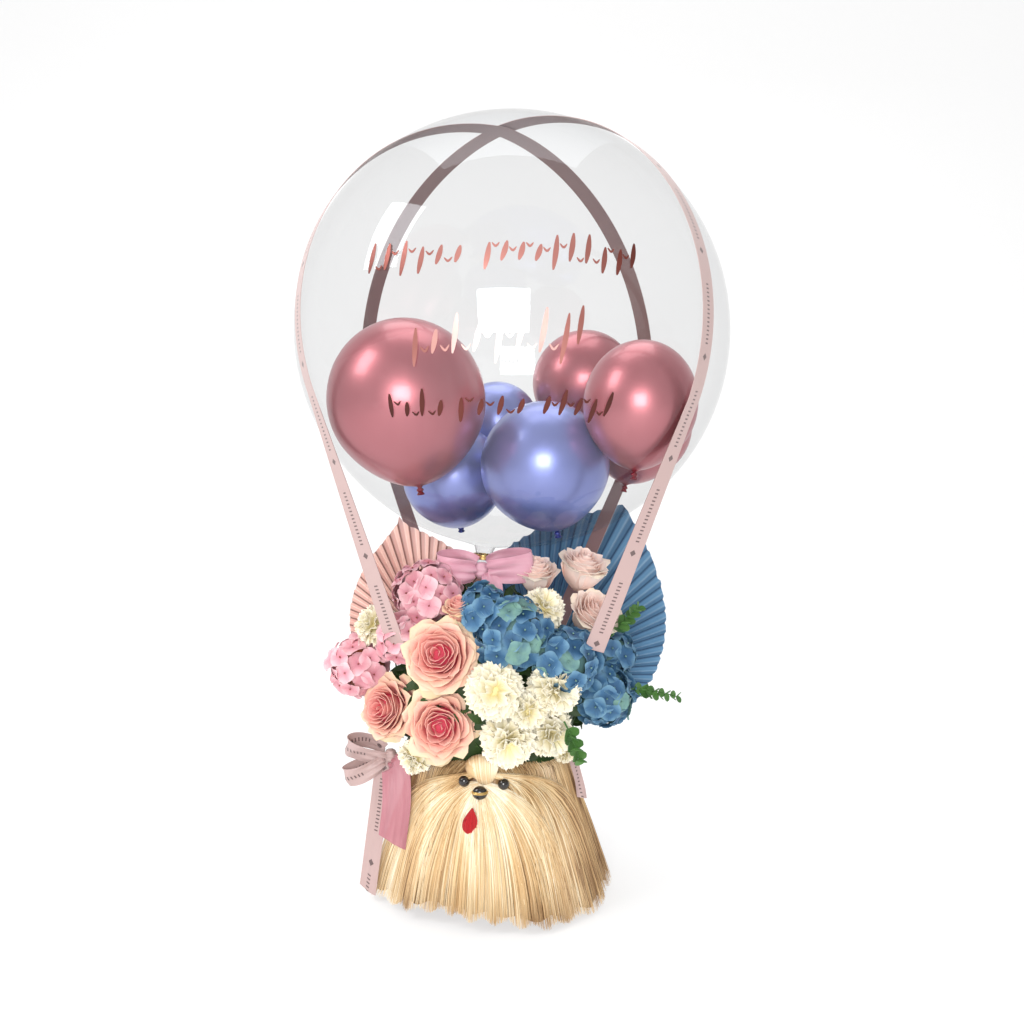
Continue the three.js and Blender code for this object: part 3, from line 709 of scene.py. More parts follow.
def hydrangea(mesh, radius, random):
    """Four-petalled florets over a ball, each with a small bead in its middle."""
    ball_core(mesh, 0.74 * radius)
    count = int(FLORETS * (radius / HYDRANGEA_FULL) ** 2)
    outward = unit(spread_on_ball(count, 138) + random.normal(0, 0.05, (count, 3)))
    lift = radius * random.uniform(0.80, 0.97, count)
    facing = unit(outward + random.normal(0, 0.22, (count, 3)))
    size = FLORET_SIZE * random.uniform(0.85, 1.15, count)
    v, u = petal_steps(5, 5)
    petal_x = u * (0.08 + np.sin(v * 2.75) ** 0.75) * 0.60
    petal_y = 0.06 + v * (1.0 - 0.10 * u**2)
    petal_z = 0.30 * v - 0.34 * v**2.5 + 0.20 * u**2 * v
    petal = np.stack([petal_x, petal_y, np.broadcast_to(petal_z, petal_x.shape)], -1)
    spins = random.uniform(0, 90, count)
    tints = random.uniform(0, 1, count)
    across = unit(np.cross(facing, unit(random.normal(0, 1, (count, 3)))))
    upward = np.cross(facing, across)
    bases = np.stack([across, upward, facing], -1)
    middles = outward * lift[:, None]
    for quarter in range(4):
        angle = np.radians(spins + 90 * quarter + random.uniform(-6, 6, count))
        turn = bases @ spins_about_z(angle)
        grids = np.einsum("rcj,kij->krci", petal, turn) * size[:, None, None, None] + middles[:, None, None]
        mesh.sheets(grids, 0.4 * MM, tint=per_sheet(tints), tone=0.25 + 0.75 * v)
    angles = np.radians(np.array([-80.0, 0.0, 80.0]))
    small_bead = turned(np.stack([np.cos(angles), np.sin(angles)], -1) * 1.3 * MM, 5)[0]
    beads = np.einsum("rcj,kij->krci", small_bead, bases) + (middles + facing * 1.6 * MM)[:, None, None]
    mesh.tubes(beads, tint=0.9, tone=0.05)


def rose_openness(name):
    """How far a rose has opened: a bud hardly, and the roses on stems not at all."""
    if name.startswith("bud"):
        return 0.1
    return 0.0 if name in UPRIGHT_ROSES else 1.0


def blooms(paints):
    """One piece for each flower head, in the place of its node."""
    for number, (name, (kind, middle, radius)) in enumerate(all_heads().items()):
        random = np.random.default_rng(100 + number)
        mesh = Mesh()
        if kind == "carnation":
            carnation(mesh, radius, random)
            slot = "petal_cream"
        elif kind == "hydrangea":
            hydrangea(mesh, radius, random)
            slot = "petal_blue" if "blue" in name else "petal_pink"
        else:
            rose(mesh, radius, random, rose_openness(name))
            slot = "petal_rose"
        turn = frame_from(ROSE_LEANS.get(name, middle - MOUND_MIDDLE))
        mesh.points = [points @ turn.T + middle for points in mesh.points]
        paint = paints["petal_blush" if name in UPRIGHT_ROSES else slot]
        mesh.build(f"{name}_petals", paint, [name], sharp=55)


# Each kind of petal: its roughness, its heart's colour, the colour of florets that have not coloured yet, and
# the colours from the heart to the rim.
PETAL_LOOKS = {
    "petal_rose": (
        0.55, "f3c2b4", None, (0.0, "cf4862"), (0.2, "e27a86"), (0.45, "f0aaa6"), (0.7, "f5c6b6"),
        (0.88, "f1d9bb"), (1.0, "e3dab0"),
    ),
    "petal_blush": (
        0.55, "ffe9de", None, (0.0, "f6bcb6"), (0.4, "ffe0d6"), (0.8, "fff2ea"), (1.0, "fbf4e0"),
    ),
    "petal_cream": (
        0.7, "f3e9ca", None, (0.0, "d2c07c"), (0.4, "ece3b6"), (0.75, "f2ecd4"), (1.0, "f9f5e8"),
    ),
    "petal_pink": (
        0.6, "e8abb6", None, (0.0, "9c5c3e"), (0.22, "d48c9c"), (0.6, "e8b0ba"), (1.0, "f3d0d4"),
    ),
    "petal_blue": (
        0.6, "5d8cb4", "86b09a", (0.0, "7aa39a"), (0.2, "2a5578"), (0.6, "406f95"), (1.0, "749fb8"),
    ),
}
YOUNG_TINT = 0.84  # florets with a higher tint have not coloured yet


def petal_paint(name, roughness, heart, young, *stops):
    """Petals: tone runs from the heart to the rim, tint sets petals apart, and fine veins run to the rim."""
    paint = Paint(name, "ffffff", roughness)
    tone = paint.value("tone")
    tint = paint.value("tint")
    cloud = paint.noise(70, 3)
    factor = paint.plus(tone, paint.math("MULTIPLY_ADD", cloud, 0.3, -0.15))
    base = paint.ramp(factor, *stops)
    shaded = paint.mix(paint.times(tint, 0.35), base, colour(heart), "MULTIPLY")
    if young:
        chosen = paint.math("GREATER_THAN", tint, YOUNG_TINT)
        unripe = paint.times(chosen, paint.times(cloud, 1.3))
        shaded = paint.mix(unripe, shaded, colour(young))
    veins = paint.noise(1, 2, paint.place((34, 2.5, 1), uv=True))
    veined = paint.mix(paint.times(veins, 0.18), shaded, colour(heart), "MULTIPLY")
    return paint.finished(veined, veins, 0.5 * MM, 0.7)


def petal_paints():
    return {name: petal_paint(name, *look) for name, look in PETAL_LOOKS.items()}


# ---- Leaves and palm fans ------------------------------------------------------------------------

LEAF_BED_DEPTH = 0.88
LEAF_BED_PROFILE = mm(
    [0, 172.4], [98, 172.4], [106, 190.4], [122, 232.4], [121, 276.4], [100, 322.4], [56, 362.4], [0, 376.4],
)
LEAF_COUNT = 430
LEAF_LOWEST = 176 * MM  # no leaf hangs lower than this, so that they clear the pot's rim


def leaf_grid(rows=6, columns=3):
    """A pointed leaf of length one along +Y, folded a little along its rib and bent back at the tip."""
    v, u = petal_steps(rows, columns)
    half = 0.24 * np.sin(math.pi * np.clip(v, 0.02, 0.985) ** 0.8) ** 0.8
    return np.stack([u * half, v + 0 * u, 0.10 * np.abs(u) * np.sin(math.pi * v) - 0.22 * v**2], -1)


def leaf_bed(paint):
    """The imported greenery: a dark bumpy dome with leaves that stand out of it between the flowers."""
    random = np.random.default_rng(7)
    profile = LEAF_BED_PROFILE.copy()
    profile[[0, -1], 0] = 1 * MM
    heights = np.linspace(0, len(profile) - 1, 30)
    fine = np.stack([np.interp(heights, np.arange(len(profile)), profile[:, k]) for k in (0, 1)], -1)
    grid = turned(fine, 60)
    bumps = np.sin(grid[..., 0] * 160) * np.sin(grid[..., 1] * 150 + 1) * np.sin(grid[..., 2] * 170)
    above_rim = grid[..., 2] > 180 * MM
    grid = grid * [1, LEAF_BED_DEPTH, 1]
    grid[..., :2] *= 1 - (0.05 * above_rim * (1 + bumps))[..., None]
    mesh = Mesh()
    mesh.tubes(grid, tint=0.2, tone=0.1)
    azimuth = random.uniform(0, 360, LEAF_COUNT)
    height = random.uniform(188, 372, LEAF_COUNT) * MM
    radius = np.interp(height, LEAF_BED_PROFILE[1:, 1], LEAF_BED_PROFILE[1:, 0])
    root = heading(azimuth) * radius[:, None] * 0.9 * [1, LEAF_BED_DEPTH, 1]
    root[:, 2] = height
    outward = unit(root - MOUND_MIDDLE)
    along = unit(outward * 0.45 + random.normal(0, 0.5, (LEAF_COUNT, 3)) + [0, 0, 0.15])
    side = unit(np.cross(along, outward))
    face = np.cross(side, along)
    turn = np.stack([side, along, face], -1)
    # Low leaves over the face are smaller, so that they don't hang into it.
    over_face = bump(turn_between(azimuth, FACE_TURN), 40) * (height < 225 * MM)
    size = random.uniform(22, 36, LEAF_COUNT) * MM * (1 - 0.6 * over_face)
    leaves = np.einsum("rcj,kij->krci", leaf_grid(), turn) * size[:, None, None, None] + root[:, None, None]
    leaves[..., 2] = np.maximum(leaves[..., 2], LEAF_LOWEST)
    mesh.sheets(leaves, 0.5 * MM, tint=per_sheet(random.uniform(0, 1, LEAF_COUNT)), tone=0.6)
    mesh.build("leaf_bed_greenery", paint, ["leaf_bed"])


def leaf_paint(name, dark, light, roughness):
    paint = Paint(name, light, roughness)
    veins = paint.noise(1, 3, paint.place((5, 26, 1), uv=True))
    cloud = paint.noise(60, 3)
    factor = paint.math("MULTIPLY_ADD", paint.value("tint"), 0.5, paint.times(cloud, 0.5))
    return paint.finished(paint.ramp(factor, (0.1, dark), (0.9, light)), veins, 0.6 * MM)


# Each fan: pivot, where the tip points in degrees from +X, spread to each side, reach at the tip and at a
# side, the power by which it falls between them, the spread over which it falls, tilt to the back and pleats.
FANS = {
    "palm_fan_pink": (mm(-89, 30, 312), 103, (68, 92), 176, 104, 0.55, 69, 9, 30),
    "palm_fan_blue": (mm(68, 50, 262), 63, (99, 62), 296, 112, 0.7, 96, 24, 36),
}
FAN_HEEL = 16 * MM
FAN_ROWS = 14
STEPS_PER_PLEAT = 4
PLEAT_DEPTH = 3.2 * MM


def palm_fan(name, paint):
    """A palm leaf cut to a fan: fine pleats, deeper towards the rim, which is notched at each fold."""
    pivot, axis, (before, after), tip, side, droop, at_side, tilt, pleats = FANS[name]
    random = np.random.default_rng(len(name))
    columns = pleats * STEPS_PER_PLEAT + 1
    off = np.linspace(-before, after, columns)
    reach = (tip - (tip - side) * (np.abs(off) / at_side) ** droop) * MM
    fold = np.arange(columns) % STEPS_PER_PLEAT
    notch = np.where(fold == 2, 0.0, np.where(fold == 0, -0.018, -0.007)) + random.normal(0, 0.004, columns)
    reach = reach * (1 + notch)
    v = np.linspace(0, 1, FAN_ROWS)[:, None]
    radius = FAN_HEEL + (reach[None] - FAN_HEEL) * v
    crest = np.where(fold == 2, 1.0, np.where(fold == 0, -1.0, 0.0))
    depth = crest * PLEAT_DEPTH * np.minimum(1, radius / (side * MM)) * (1 + 0.25 * np.sin(off / 9.0))
    depth = depth + 2.0 * MM * np.sin(np.radians(3 * off)) * v
    angle = np.radians(axis + off)[None] + 0 * v
    flat = np.stack([radius * np.cos(angle), depth + 0 * v, radius * np.sin(angle)], -1)
    cos, sin = math.cos(math.radians(tilt)), math.sin(math.radians(tilt))
    turn = np.array([[1, 0, 0], [0, cos, sin], [0, -sin, cos]])
    mesh = Mesh()
    mesh.sheets((flat @ turn.T + pivot)[None], 0.7 * MM, tone=(crest + 1) / 2)
    mesh.build(f"{name}_pleats", paint, [name], sharp=30)


def fan_paint(name, valley, slope, crest):
    """Dried palm leaf: dark valleys of painted shade in the pleats, pale ribs, long fibres along each pleat
    and a few scorched marks.
    """
    paint = Paint(name, slope, 0.75)
    fibres = paint.noise(1, 3, paint.place((420, 3, 1), uv=True))
    # Painted shade: tone runs from each pleat's valley to its crest, so the valleys take the dark valley
    # colour as the shade in the fold.
    base = paint.ramp(paint.value("tone"), (0.0, valley), (0.3, slope), (0.7, slope), (1.0, crest))
    mottled = paint.mix(paint.times(fibres, 0.22), base, colour(valley), "MULTIPLY")
    marks = paint.ramp(paint.noise(16, 4), (0.62, "000000"), (0.75, "ffffff"))
    scorched = paint.mix(paint.times(marks, 0.2), mottled, colour(valley))
    return paint.finished(scorched, fibres, 0.4 * MM)


# ---- Eucalyptus ----------------------------------------------------------------------------------

# Each sprig: root, tip, the size of its leaves in millimetres, and its pairs of leaves each way.
SPRIGS = {
    "eucalyptus_upper_right": (mm(158, -42, 332), mm(188, -52, 366), 11, 4),
    "eucalyptus_right": (mm(178, -44, 262), mm(236, -58, 256), 10, 4),
    "eucalyptus_lower": (mm(92, -116, 236), mm(108, -132, 200), 11, 3),
}


def eucalyptus(name, root, tip, leaf, pairs, paint):
    """A stem with pairs of small round leaves that cup upwards."""
    random = np.random.default_rng(pairs + leaf)
    along = unit(tip - root)
    droop = np.sin(np.linspace(0, math.pi, 9))[:, None] * mm(0, 0, 3)
    line = root + (tip - root) * np.linspace(-0.1, 1, 9)[:, None] + droop
    mesh = Mesh()
    mesh.tubes(tube_line(line, np.linspace(1.2, 0.5, 9) * MM), tint=0.3, tone=0.3)
    aside = unit(np.cross([0, -0.4, 1], along))
    front = np.cross(along, aside)
    v, u = petal_steps(6, 5)
    half = 0.52 * np.sqrt(np.clip(1 - (2 * v - 1) ** 2, 0.02, 1))
    round_leaf = np.stack([u * half, v + 0 * u, 0.22 * u**2 * half + 0.12 * v**2 + 0 * u], -1)
    for pair in range(pairs * 2):
        middle = root + (tip - root) * (pair + 0.8) / (2 * pairs)
        size = 1.4 * leaf * MM * (1 - 0.05 * pair)
        for way in (-1, 1):
            out = unit(way * (aside if pair % 2 == 0 else front) + 0.7 * along + random.normal(0, 0.15, 3))
            face = unit(np.cross(unit(np.cross(out, along)), out) + [0, -0.6, 0.3])
            side = unit(np.cross(out, face))
            turn = np.stack([side, out, np.cross(side, out)], -1)
            leaf_place = (round_leaf @ turn.T * size + middle)[None]
            mesh.sheets(leaf_place, 0.5 * MM, tint=random.uniform(0, 1), tone=0.7)
    mesh.build(f"{name}_sprig", paint, [name])


# ---- Bows ----------------------------------------------------------------------------------------

NECK_BOW_KNOT = mm(-10, -30, 412)
NECK_BOW_WIDTH = 40 * MM
SIDE_BOW_KNOT = mm(-126, -38, 176)
SIDE_BOW_WIDTH = 25 * MM
# Each loop by its node: its knot and width, then how far it reaches, swings from back to front, and bends.
BOW_LOOPS = {
    "neck_bow_loop_left": (NECK_BOW_KNOT, NECK_BOW_WIDTH, mm(-55, -5, 3), mm(2, 30, 10), mm(0, 0, 3)),
    "neck_bow_loop_right": (NECK_BOW_KNOT, NECK_BOW_WIDTH, mm(62, -4, 6), mm(-2, 30, 10), mm(0, 0, 3)),
    "side_bow_loop_back": (SIDE_BOW_KNOT, SIDE_BOW_WIDTH, mm(-53, 0, 12), mm(-4, 24, 12), mm(0, 0, 4)),
    "side_bow_loop_front": (SIDE_BOW_KNOT, SIDE_BOW_WIDTH, mm(-52, -8, -22), mm(4, 26, 6), mm(0, 0, -2)),
}
# Each tail: the points it hangs through, the way it faces, and its width in millimetres.
BOW_TAILS = {
    "neck_bow_tail": (NECK_BOW_KNOT + mm([8, -9.5, -2], [14, -15, -18], [15, -20, -38]), (0.2, -1, 0.3), 26),
    "side_tail_long": (
        SIDE_BOW_KNOT + mm([-3, -4, -5], [-8, -7, -18], [-14, -8, -66], [-26, -20, -162]), (-0.3, -1, 0), 24,
    ),
    "side_tail_short": (
        SIDE_BOW_KNOT + mm([2, -6, -3], [9, -18, -12], [12, -30, -50], [7, -36, -96]), (-0.1, -1, 0), 36,
    ),
    "tail_right": (mm([102, -24, 190], [113, -30, 150], [119, -34, 121]), (0.6, -1, 0), 13),
}
TAIL_CUT = 0.35  # how far a tail's cut slants, in parts of its width
BOW_THICKNESS = 0.5 * MM


def bow_loop(name, paint):
    """A loop of ribbon, drawn together at the knot and full at its far end."""
    knot, width, reach, rise, bend = BOW_LOOPS[name]
    turn = np.radians(np.linspace(32, 328, 49))[:, None]
    places = knot + reach * (0.56 - 0.5 * np.cos(turn)) + rise * 0.5 * np.sin(turn) + bend * np.sin(turn) ** 2
    facing = -(reach * -np.cos(turn) / (reach @ reach) + rise * np.sin(turn) / (rise @ rise))
    gather = np.clip(np.sin((turn[:, 0] - math.radians(10)) / math.radians(340) * math.pi), 0, 1) ** 0.5
    fullness = 0.45 + 0.55 * gather
    columns = 15
    grid = strip(places, unit(facing), width * fullness, columns)
    across = np.linspace(-0.5, 0.5, columns)[None, :, None]
    fold = np.sin(across * 17) * (1 - gather[:, None, None]) * 3.2 * MM
    grid[0] += unit(facing)[:, None] * (fold + 1.2 * MM * np.sin(across * 6 + 3 * turn[:, None]))
    mesh = Mesh()
    mesh.sheets(grid, BOW_THICKNESS, tone=distance_along(places))
    piece = mesh.build(f"{name}_cloth", paint, [name])


def bow_tail(name, paint):
    """A free end, with a slanting cut and a soft wave along it."""
    points, facing, width = BOW_TAILS[name]
    places = smooth_line(points, 41)
    facing = unit(np.array(facing, float))
    columns = 17
    v = np.linspace(0, 1, len(places))
    gathered = 0.0 if name == "tail_right" else 0.5
    full = 1 - gathered * np.clip(1 - 3 * v, 0, 1) ** 1.5
    grid = strip(places, np.broadcast_to(facing, places.shape), width * MM * full, columns)
    across = np.linspace(-0.5, 0.5, columns)[None, :, None]
    v = v[:, None, None]
    along = unit(places[-1] - places[-3])
    grid[0] += facing * np.sin(across * 19 + 1) * (1.06 - full[:, None, None]) * 4 * MM * (gathered > 0)
    grid[0] += along * across * TAIL_CUT * width * MM * v**6
    grid[0] += facing * 1.6 * MM * np.sin(across * 5 + v * 7) * v
    mesh = Mesh()
    mesh.sheets(grid, BOW_THICKNESS, tone=distance_along(places))
    piece = mesh.build(f"{name}_cloth", paint, [name])


def bow_knot(name, middle, size, paint):
    """The knot: a short roll of ribbon with folds round it."""
    turn = np.linspace(0, 2 * math.pi, 28, endpoint=False)
    rows = np.linspace(-1, 1, 13)
    radius = np.sqrt(np.clip(1 - 0.8 * rows**2, 0.03, 1))[:, None] * (1 + 0.08 * np.sin(9 * rows)[:, None])
    radius = radius * (1 + 0.05 * np.sin(5 * turn + 2 * rows[:, None]))
    grid = np.stack([radius * np.cos(turn), radius * np.sin(turn), rows[:, None] + 0 * turn], -1)
    mesh = Mesh()
    mesh.tubes((grid * mm(*size) * 0.96 + middle)[None])
    mesh.build(f"{name}_cloth", paint, [name])


def organza_paint(name, deep, pale):
    """Sheer organza: a fine weave and soft crosswise folds, with painted shade in the hollows of the folds.
    """
    paint = Paint(name, pale, 0.35, alpha=0.78, sheen_weight=0.4, sheen_roughness=0.35)
    folds = paint.noise(1, 3, paint.place((5, 1.5, 1), uv=True))
    weave = paint.noise(2600, 2)
    height = paint.plus(folds, paint.times(weave, 0.15))
    # Painted shade: the fold pattern that sets the relief also darkens the colour to the deep one in its
    # hollows.
    return paint.finished(paint.mix(folds, colour(deep), colour(pale)), height, 1.2 * MM)


def bows(ribbon_cloth, organza, deep_organza):
    """The pink bow on the balloon's neck, the printed bow at the pot's left, and the loose ends."""
    bow_knot("neck_bow_knot", NECK_BOW_KNOT, (10, 8, 11), organza)
    bow_knot("side_bow_knot", SIDE_BOW_KNOT, (9, 8, 9), ribbon_cloth)
    for name in BOW_LOOPS:
        neck = name.startswith("neck")
        bow_loop(name, organza if neck else ribbon_cloth)
    for name in BOW_TAILS:
        sheer = {"neck_bow_tail": organza, "side_tail_short": deep_organza}.get(name)
        bow_tail(name, sheer or ribbon_cloth)


# ---- Pot, hair and face --------------------------------------------------------------------------

POT_FOOT = 78 * MM
POT_RIM = 92 * MM
POT_HEIGHT = 172 * MM
POT_WALL = 4 * MM
POT_FLOOR = 5 * MM

HAIR_TOP = 166 * MM
HAIR_FRONT_LIFT = 9 * MM  # how much higher the hair rises behind the topknot, up to the flowers
HAIR_LIFT_SPREAD = 48  # degrees
HAIR_ROLL_HEIGHT = 10 * MM  # above its crest the hair rolls in by HAIR_ROLL_IN over this height
HAIR_ROLL_IN = 13 * MM
HAIR_ROOT_RADIUS = 101 * MM
HAIR_HEM_RADIUS = 156 * MM
HAIR_HEM = 2 * MM
HAIR_LOCKS = 11
HAIR_LOCK_DEPTH = 3 * MM
HAIR_FRONT = -110  # azimuth where the hem is shorter and closer
HAIR_FRONT_SPREAD = 42  # degrees
HEM_SHORTER = 15 * MM
HEM_CLOSER = 20 * MM
LOWEST_TIP = 2.5 * MM

FACE_TURN = -95  # azimuth of the muzzle
MUZZLE_SPREAD = 24  # degrees
MUZZLE_HEIGHT = 136 * MM
MUZZLE_TALL = 26 * MM
MUZZLE_DEPTH = 11 * MM

TOPKNOT = mm(-7, -103, 182)
TOPKNOT_SIZE = mm(21, 13, 15)
NOSE = mm(-9, -114, 155)
NOSE_SIZE = mm(9, 7, 8)
EYES = {"eye_left": mm(-28, -104, 166), "eye_right": mm(19, -106, 163)}
EYE_RADIUS = 7 * MM
TONGUE = mm(-20, -124, 126)
TONGUE_WIDTH = 19 * MM
TONGUE_HEIGHT = 34 * MM
TONGUE_DEPTH = 6 * MM
TONGUE_LEAN = math.radians(18)

RIGHT_FLANK_SHADE_FROM = 60 * MM  # the hair past this place on X gets painted shade, darker on the right flank
COAT_STRANDS = 2080
BROW_STRANDS = 300
MOUSTACHE_STRANDS = 1500
TOPKNOT_STRANDS = 420
TONGUE_THREADS = 90
STRAND_STEPS = np.linspace(0, 1, 12)[None] ** 1.3  # closer together where the hair rolls over the rim


def hair_crest(azimuth):
    """The height above which the hair rolls in over the rim."""
    return HAIR_TOP + HAIR_FRONT_LIFT * bump(turn_between(azimuth, FACE_TURN), HAIR_LIFT_SPREAD)


def hair_radius(azimuth, height):
    """How far the hair's outside stands from the pot's axis."""
    down = np.clip((HAIR_TOP - height) / (HAIR_TOP - HAIR_HEM), 0, 1)
    hem = HAIR_HEM_RADIUS - HEM_CLOSER * bump(turn_between(azimuth, HAIR_FRONT), HAIR_FRONT_SPREAD)
    lock = HAIR_LOCK_DEPTH * np.cos(np.radians(HAIR_LOCKS * azimuth)) * np.minimum(1, 2 * down)
    muzzle = MUZZLE_DEPTH * bump(turn_between(azimuth, FACE_TURN), MUZZLE_SPREAD)
    muzzle = muzzle * bump(height - MUZZLE_HEIGHT, MUZZLE_TALL)
    over_rim = np.clip((height - hair_crest(azimuth)) / HAIR_ROLL_HEIGHT, 0, 1) ** 2
    hang = HAIR_ROOT_RADIUS + (hem - HAIR_ROOT_RADIUS) * down**0.95
    return hang + lock + muzzle - HAIR_ROLL_IN * over_rim


def hem_height(azimuth):
    """The height of the hair's cut ends."""
    return HAIR_HEM + HEM_SHORTER * bump(turn_between(azimuth, HAIR_FRONT), HAIR_FRONT_SPREAD)


def add_strands(mesh, places, side, out, widths, tints, tones):
    """Three-sided strands through places (strands, rows, 3), flatter along out than along side."""
    turn = np.radians([90, 210, 330])[:, None]
    ring = out[:, :, None] * 0.6 * np.sin(turn) + side[:, :, None] * np.cos(turn)
    grids = places[:, :, None] + ring * widths[..., None, None]
    mesh.tubes(grids, tint=per_sheet(tints), tone=tones[..., None])


def lay_strands(mesh, random, azimuths, heights, depths, width, tones):
    """Strands in the coat's surface, each row of azimuths and heights one strand's course.

    depths is how far below the surface they run, and width is half a strand's own width where it is widest.
    """
    count = len(azimuths)
    s = STRAND_STEPS[0]
    root = 0.55 + 0.45 * np.sin(np.minimum(s * 2.2, 1) * math.pi / 2)
    tip = 1 - 0.72 * np.clip((s - 0.75) / 0.25, 0, 1)
    widths = random.uniform(0.6, 1.25, count)[:, None] * width * (root * tip)
    places = around_axis(azimuths, hair_radius(azimuths, heights) - depths, heights)
    along = unit(np.gradient(places, axis=1))
    side = unit(np.cross(along, heading(azimuths)))
    add_strands(mesh, places, side, np.cross(side, along), widths, random.uniform(0, 1, count), tones)


def coat_strands(mesh, random, count):
    """Long hair from the rim to the hem, parted at the face and swept aside there."""
    offset = random.uniform(-180, 180, count)
    near_face = np.abs(offset) < 8
    offset[near_face] = np.sign(offset[near_face]) * random.uniform(8, 60, near_face.sum())
    s = STRAND_STEPS
    push = np.sign(offset) * 42 * bump(offset, 30)
    sweep = 1 - (1 - s) ** 2.6
    clump = 1.6 * np.sin(np.radians(17 * offset)) + 0.9 * np.sin(np.radians(41 * offset))
    end = offset + push + clump + random.normal(0, 1.5, count)
    azimuths = FACE_TURN + offset[:, None] + (end - offset)[:, None] * sweep
    azimuths = azimuths + random.normal(0, 1.2, count)[:, None] * np.sin(math.pi * s) * 0.5
    root = hair_crest(FACE_TURN + offset) + random.uniform(7, 10.5, count) * MM
    ragged = 3.5 * MM * np.sin(np.radians(23 * end)) + random.gamma(1.6, 2.6 * MM, count)
    hem = np.maximum(hem_height(FACE_TURN + end) + ragged, LOWEST_TIP)
    heights = root[:, None] + (hem - root)[:, None] * s
    depths = random.uniform(-0.5, 4.5, count)[:, None] * MM
    depths = depths - random.uniform(0, 2.5, count)[:, None] * MM * s**3
    lay_strands(mesh, random, azimuths, heights, depths, 0.62 * MM, 0.35 + 0.3 * s)


def brow_strands(mesh, random, count):
    """Hair that is combed out from under the topknot and falls over the tops of the eyes."""
    s = STRAND_STEPS
    side = random.choice([-1, 1], count)
    root_offset = (side * random.uniform(1.5, 9, count))[:, None]
    end = (side * random.uniform(30, 80, count))[:, None]
    azimuths = FACE_TURN + root_offset + (end - root_offset) * (1 - (1 - s) ** 3)
    root = HAIR_TOP + random.uniform(6, 10, count)[:, None] * MM
    hem = (hem_height(FACE_TURN + end[:, 0]) + random.gamma(1.6, 2.6 * MM, count))[:, None]
    # The eye at +X is farther out, so the hair there falls later.
    slow = np.where(side > 0, 1.75, 1.32)[:, None]
    heights = root + (hem - root) * s**slow
    depths = -(random.uniform(0, 3, count)[:, None] + 5 * bump(s - 0.08, 0.1)) * MM
    lay_strands(mesh, random, azimuths, heights, depths, 0.6 * MM, 0.5 + 0.2 * s)


def muzzle_strands(mesh, random, count):
    """Pale hair that springs from round the nose, fans out under the eyes and falls to the hem."""
    spread = random.uniform(-1, 1, count)
    offset = np.sign(spread) * np.abs(spread) ** 1.1 * 50
    s = STRAND_STEPS
    root_offset = -0.5 + np.sign(spread) * random.uniform(-0.8, 4.5, count)
    end = offset + 1.5 * np.sin(np.radians(23 * offset)) + random.normal(0, 1.2, count)
    azimuths = FACE_TURN + root_offset[:, None] + (end - root_offset)[:, None] * (1 - (1 - s) ** 2.3)
    root = (160 - 9 * np.abs(root_offset) / 4.5 * (1 - np.abs(spread)) + 5 * np.abs(spread)) * MM
    ragged = 3 * MM * np.sin(np.radians(31 * end)) + random.gamma(1.6, 2.4 * MM, count)
    hem = np.maximum(hem_height(FACE_TURN + end) + ragged, LOWEST_TIP)
    fall = s ** (1 + 0.55 * np.abs(spread)[:, None])
    heights = root[:, None] + (hem - root)[:, None] * fall
    puffed = 1.5 * MM * np.sin(math.pi * np.minimum(s * 1.5, 1))
    depths = random.uniform(-2.5, 1.5, count)[:, None] * MM - puffed
    tones = np.clip(0.98 - 0.55 * s * (0.5 + np.abs(spread)[:, None]), 0, 1)
    lay_strands(mesh, random, azimuths, heights, depths, 0.6 * MM, tones)


def hair_base(mesh):
    """The dense hair under the loose strands: a fluted skin that hangs from the rim, open below."""
    azimuths = np.linspace(0, 360, 300, endpoint=False)
    rows = np.linspace(0, 1, 18)[:, None]
    hem = hem_height(azimuths) + (7 + 2.5 * np.sin(np.radians(23 * azimuths))) * MM
    top = hair_crest(azimuths) + 8 * MM
    height = top + (hem - top)[None] * rows**1.3
    flute = 0.8 * np.sin(np.radians(50 * azimuths)) + 0.6 * np.sin(np.radians(71 * azimuths + 40 * rows))
    outer = hair_radius(azimuths, height) - (4.4 - flute * np.minimum(1, 3 * rows)) * MM
    wall = POT_FOOT + (POT_RIM - POT_FOOT) * height / POT_HEIGHT
    inner = np.minimum(outer - 2.5 * MM, wall + (0.6 + 60 * rows) * MM)
    outside = around_axis(azimuths, outer, height)
    inside = around_axis(azimuths, inner, height)
    loop = np.concatenate([outside, inside[::-1], outside[:1]])
    count, columns = loop.shape[:2]
    values = grid_values(1, count, columns, 0.05, 0.1)
    mesh.add(loop.reshape(1, -1, 3), grid_quads(count, columns, closed=True), values.reshape(1, -1, 4))


def hair_coat(paint):
    """The coat in two pieces: what hangs from the rim, and the pale moustache over it."""
    random = np.random.default_rng(21)
    coat = Mesh()
    hair_base(coat)
    coat_strands(coat, random, COAT_STRANDS)
    brow_strands(coat, random, BROW_STRANDS)
    coat.build("hair_coat_long", paint, ["hair_coat"], sharp=80)
    moustache = Mesh()
    muzzle_strands(moustache, random, MOUSTACHE_STRANDS)
    moustache.build("hair_coat_moustache", paint, sharp=80)


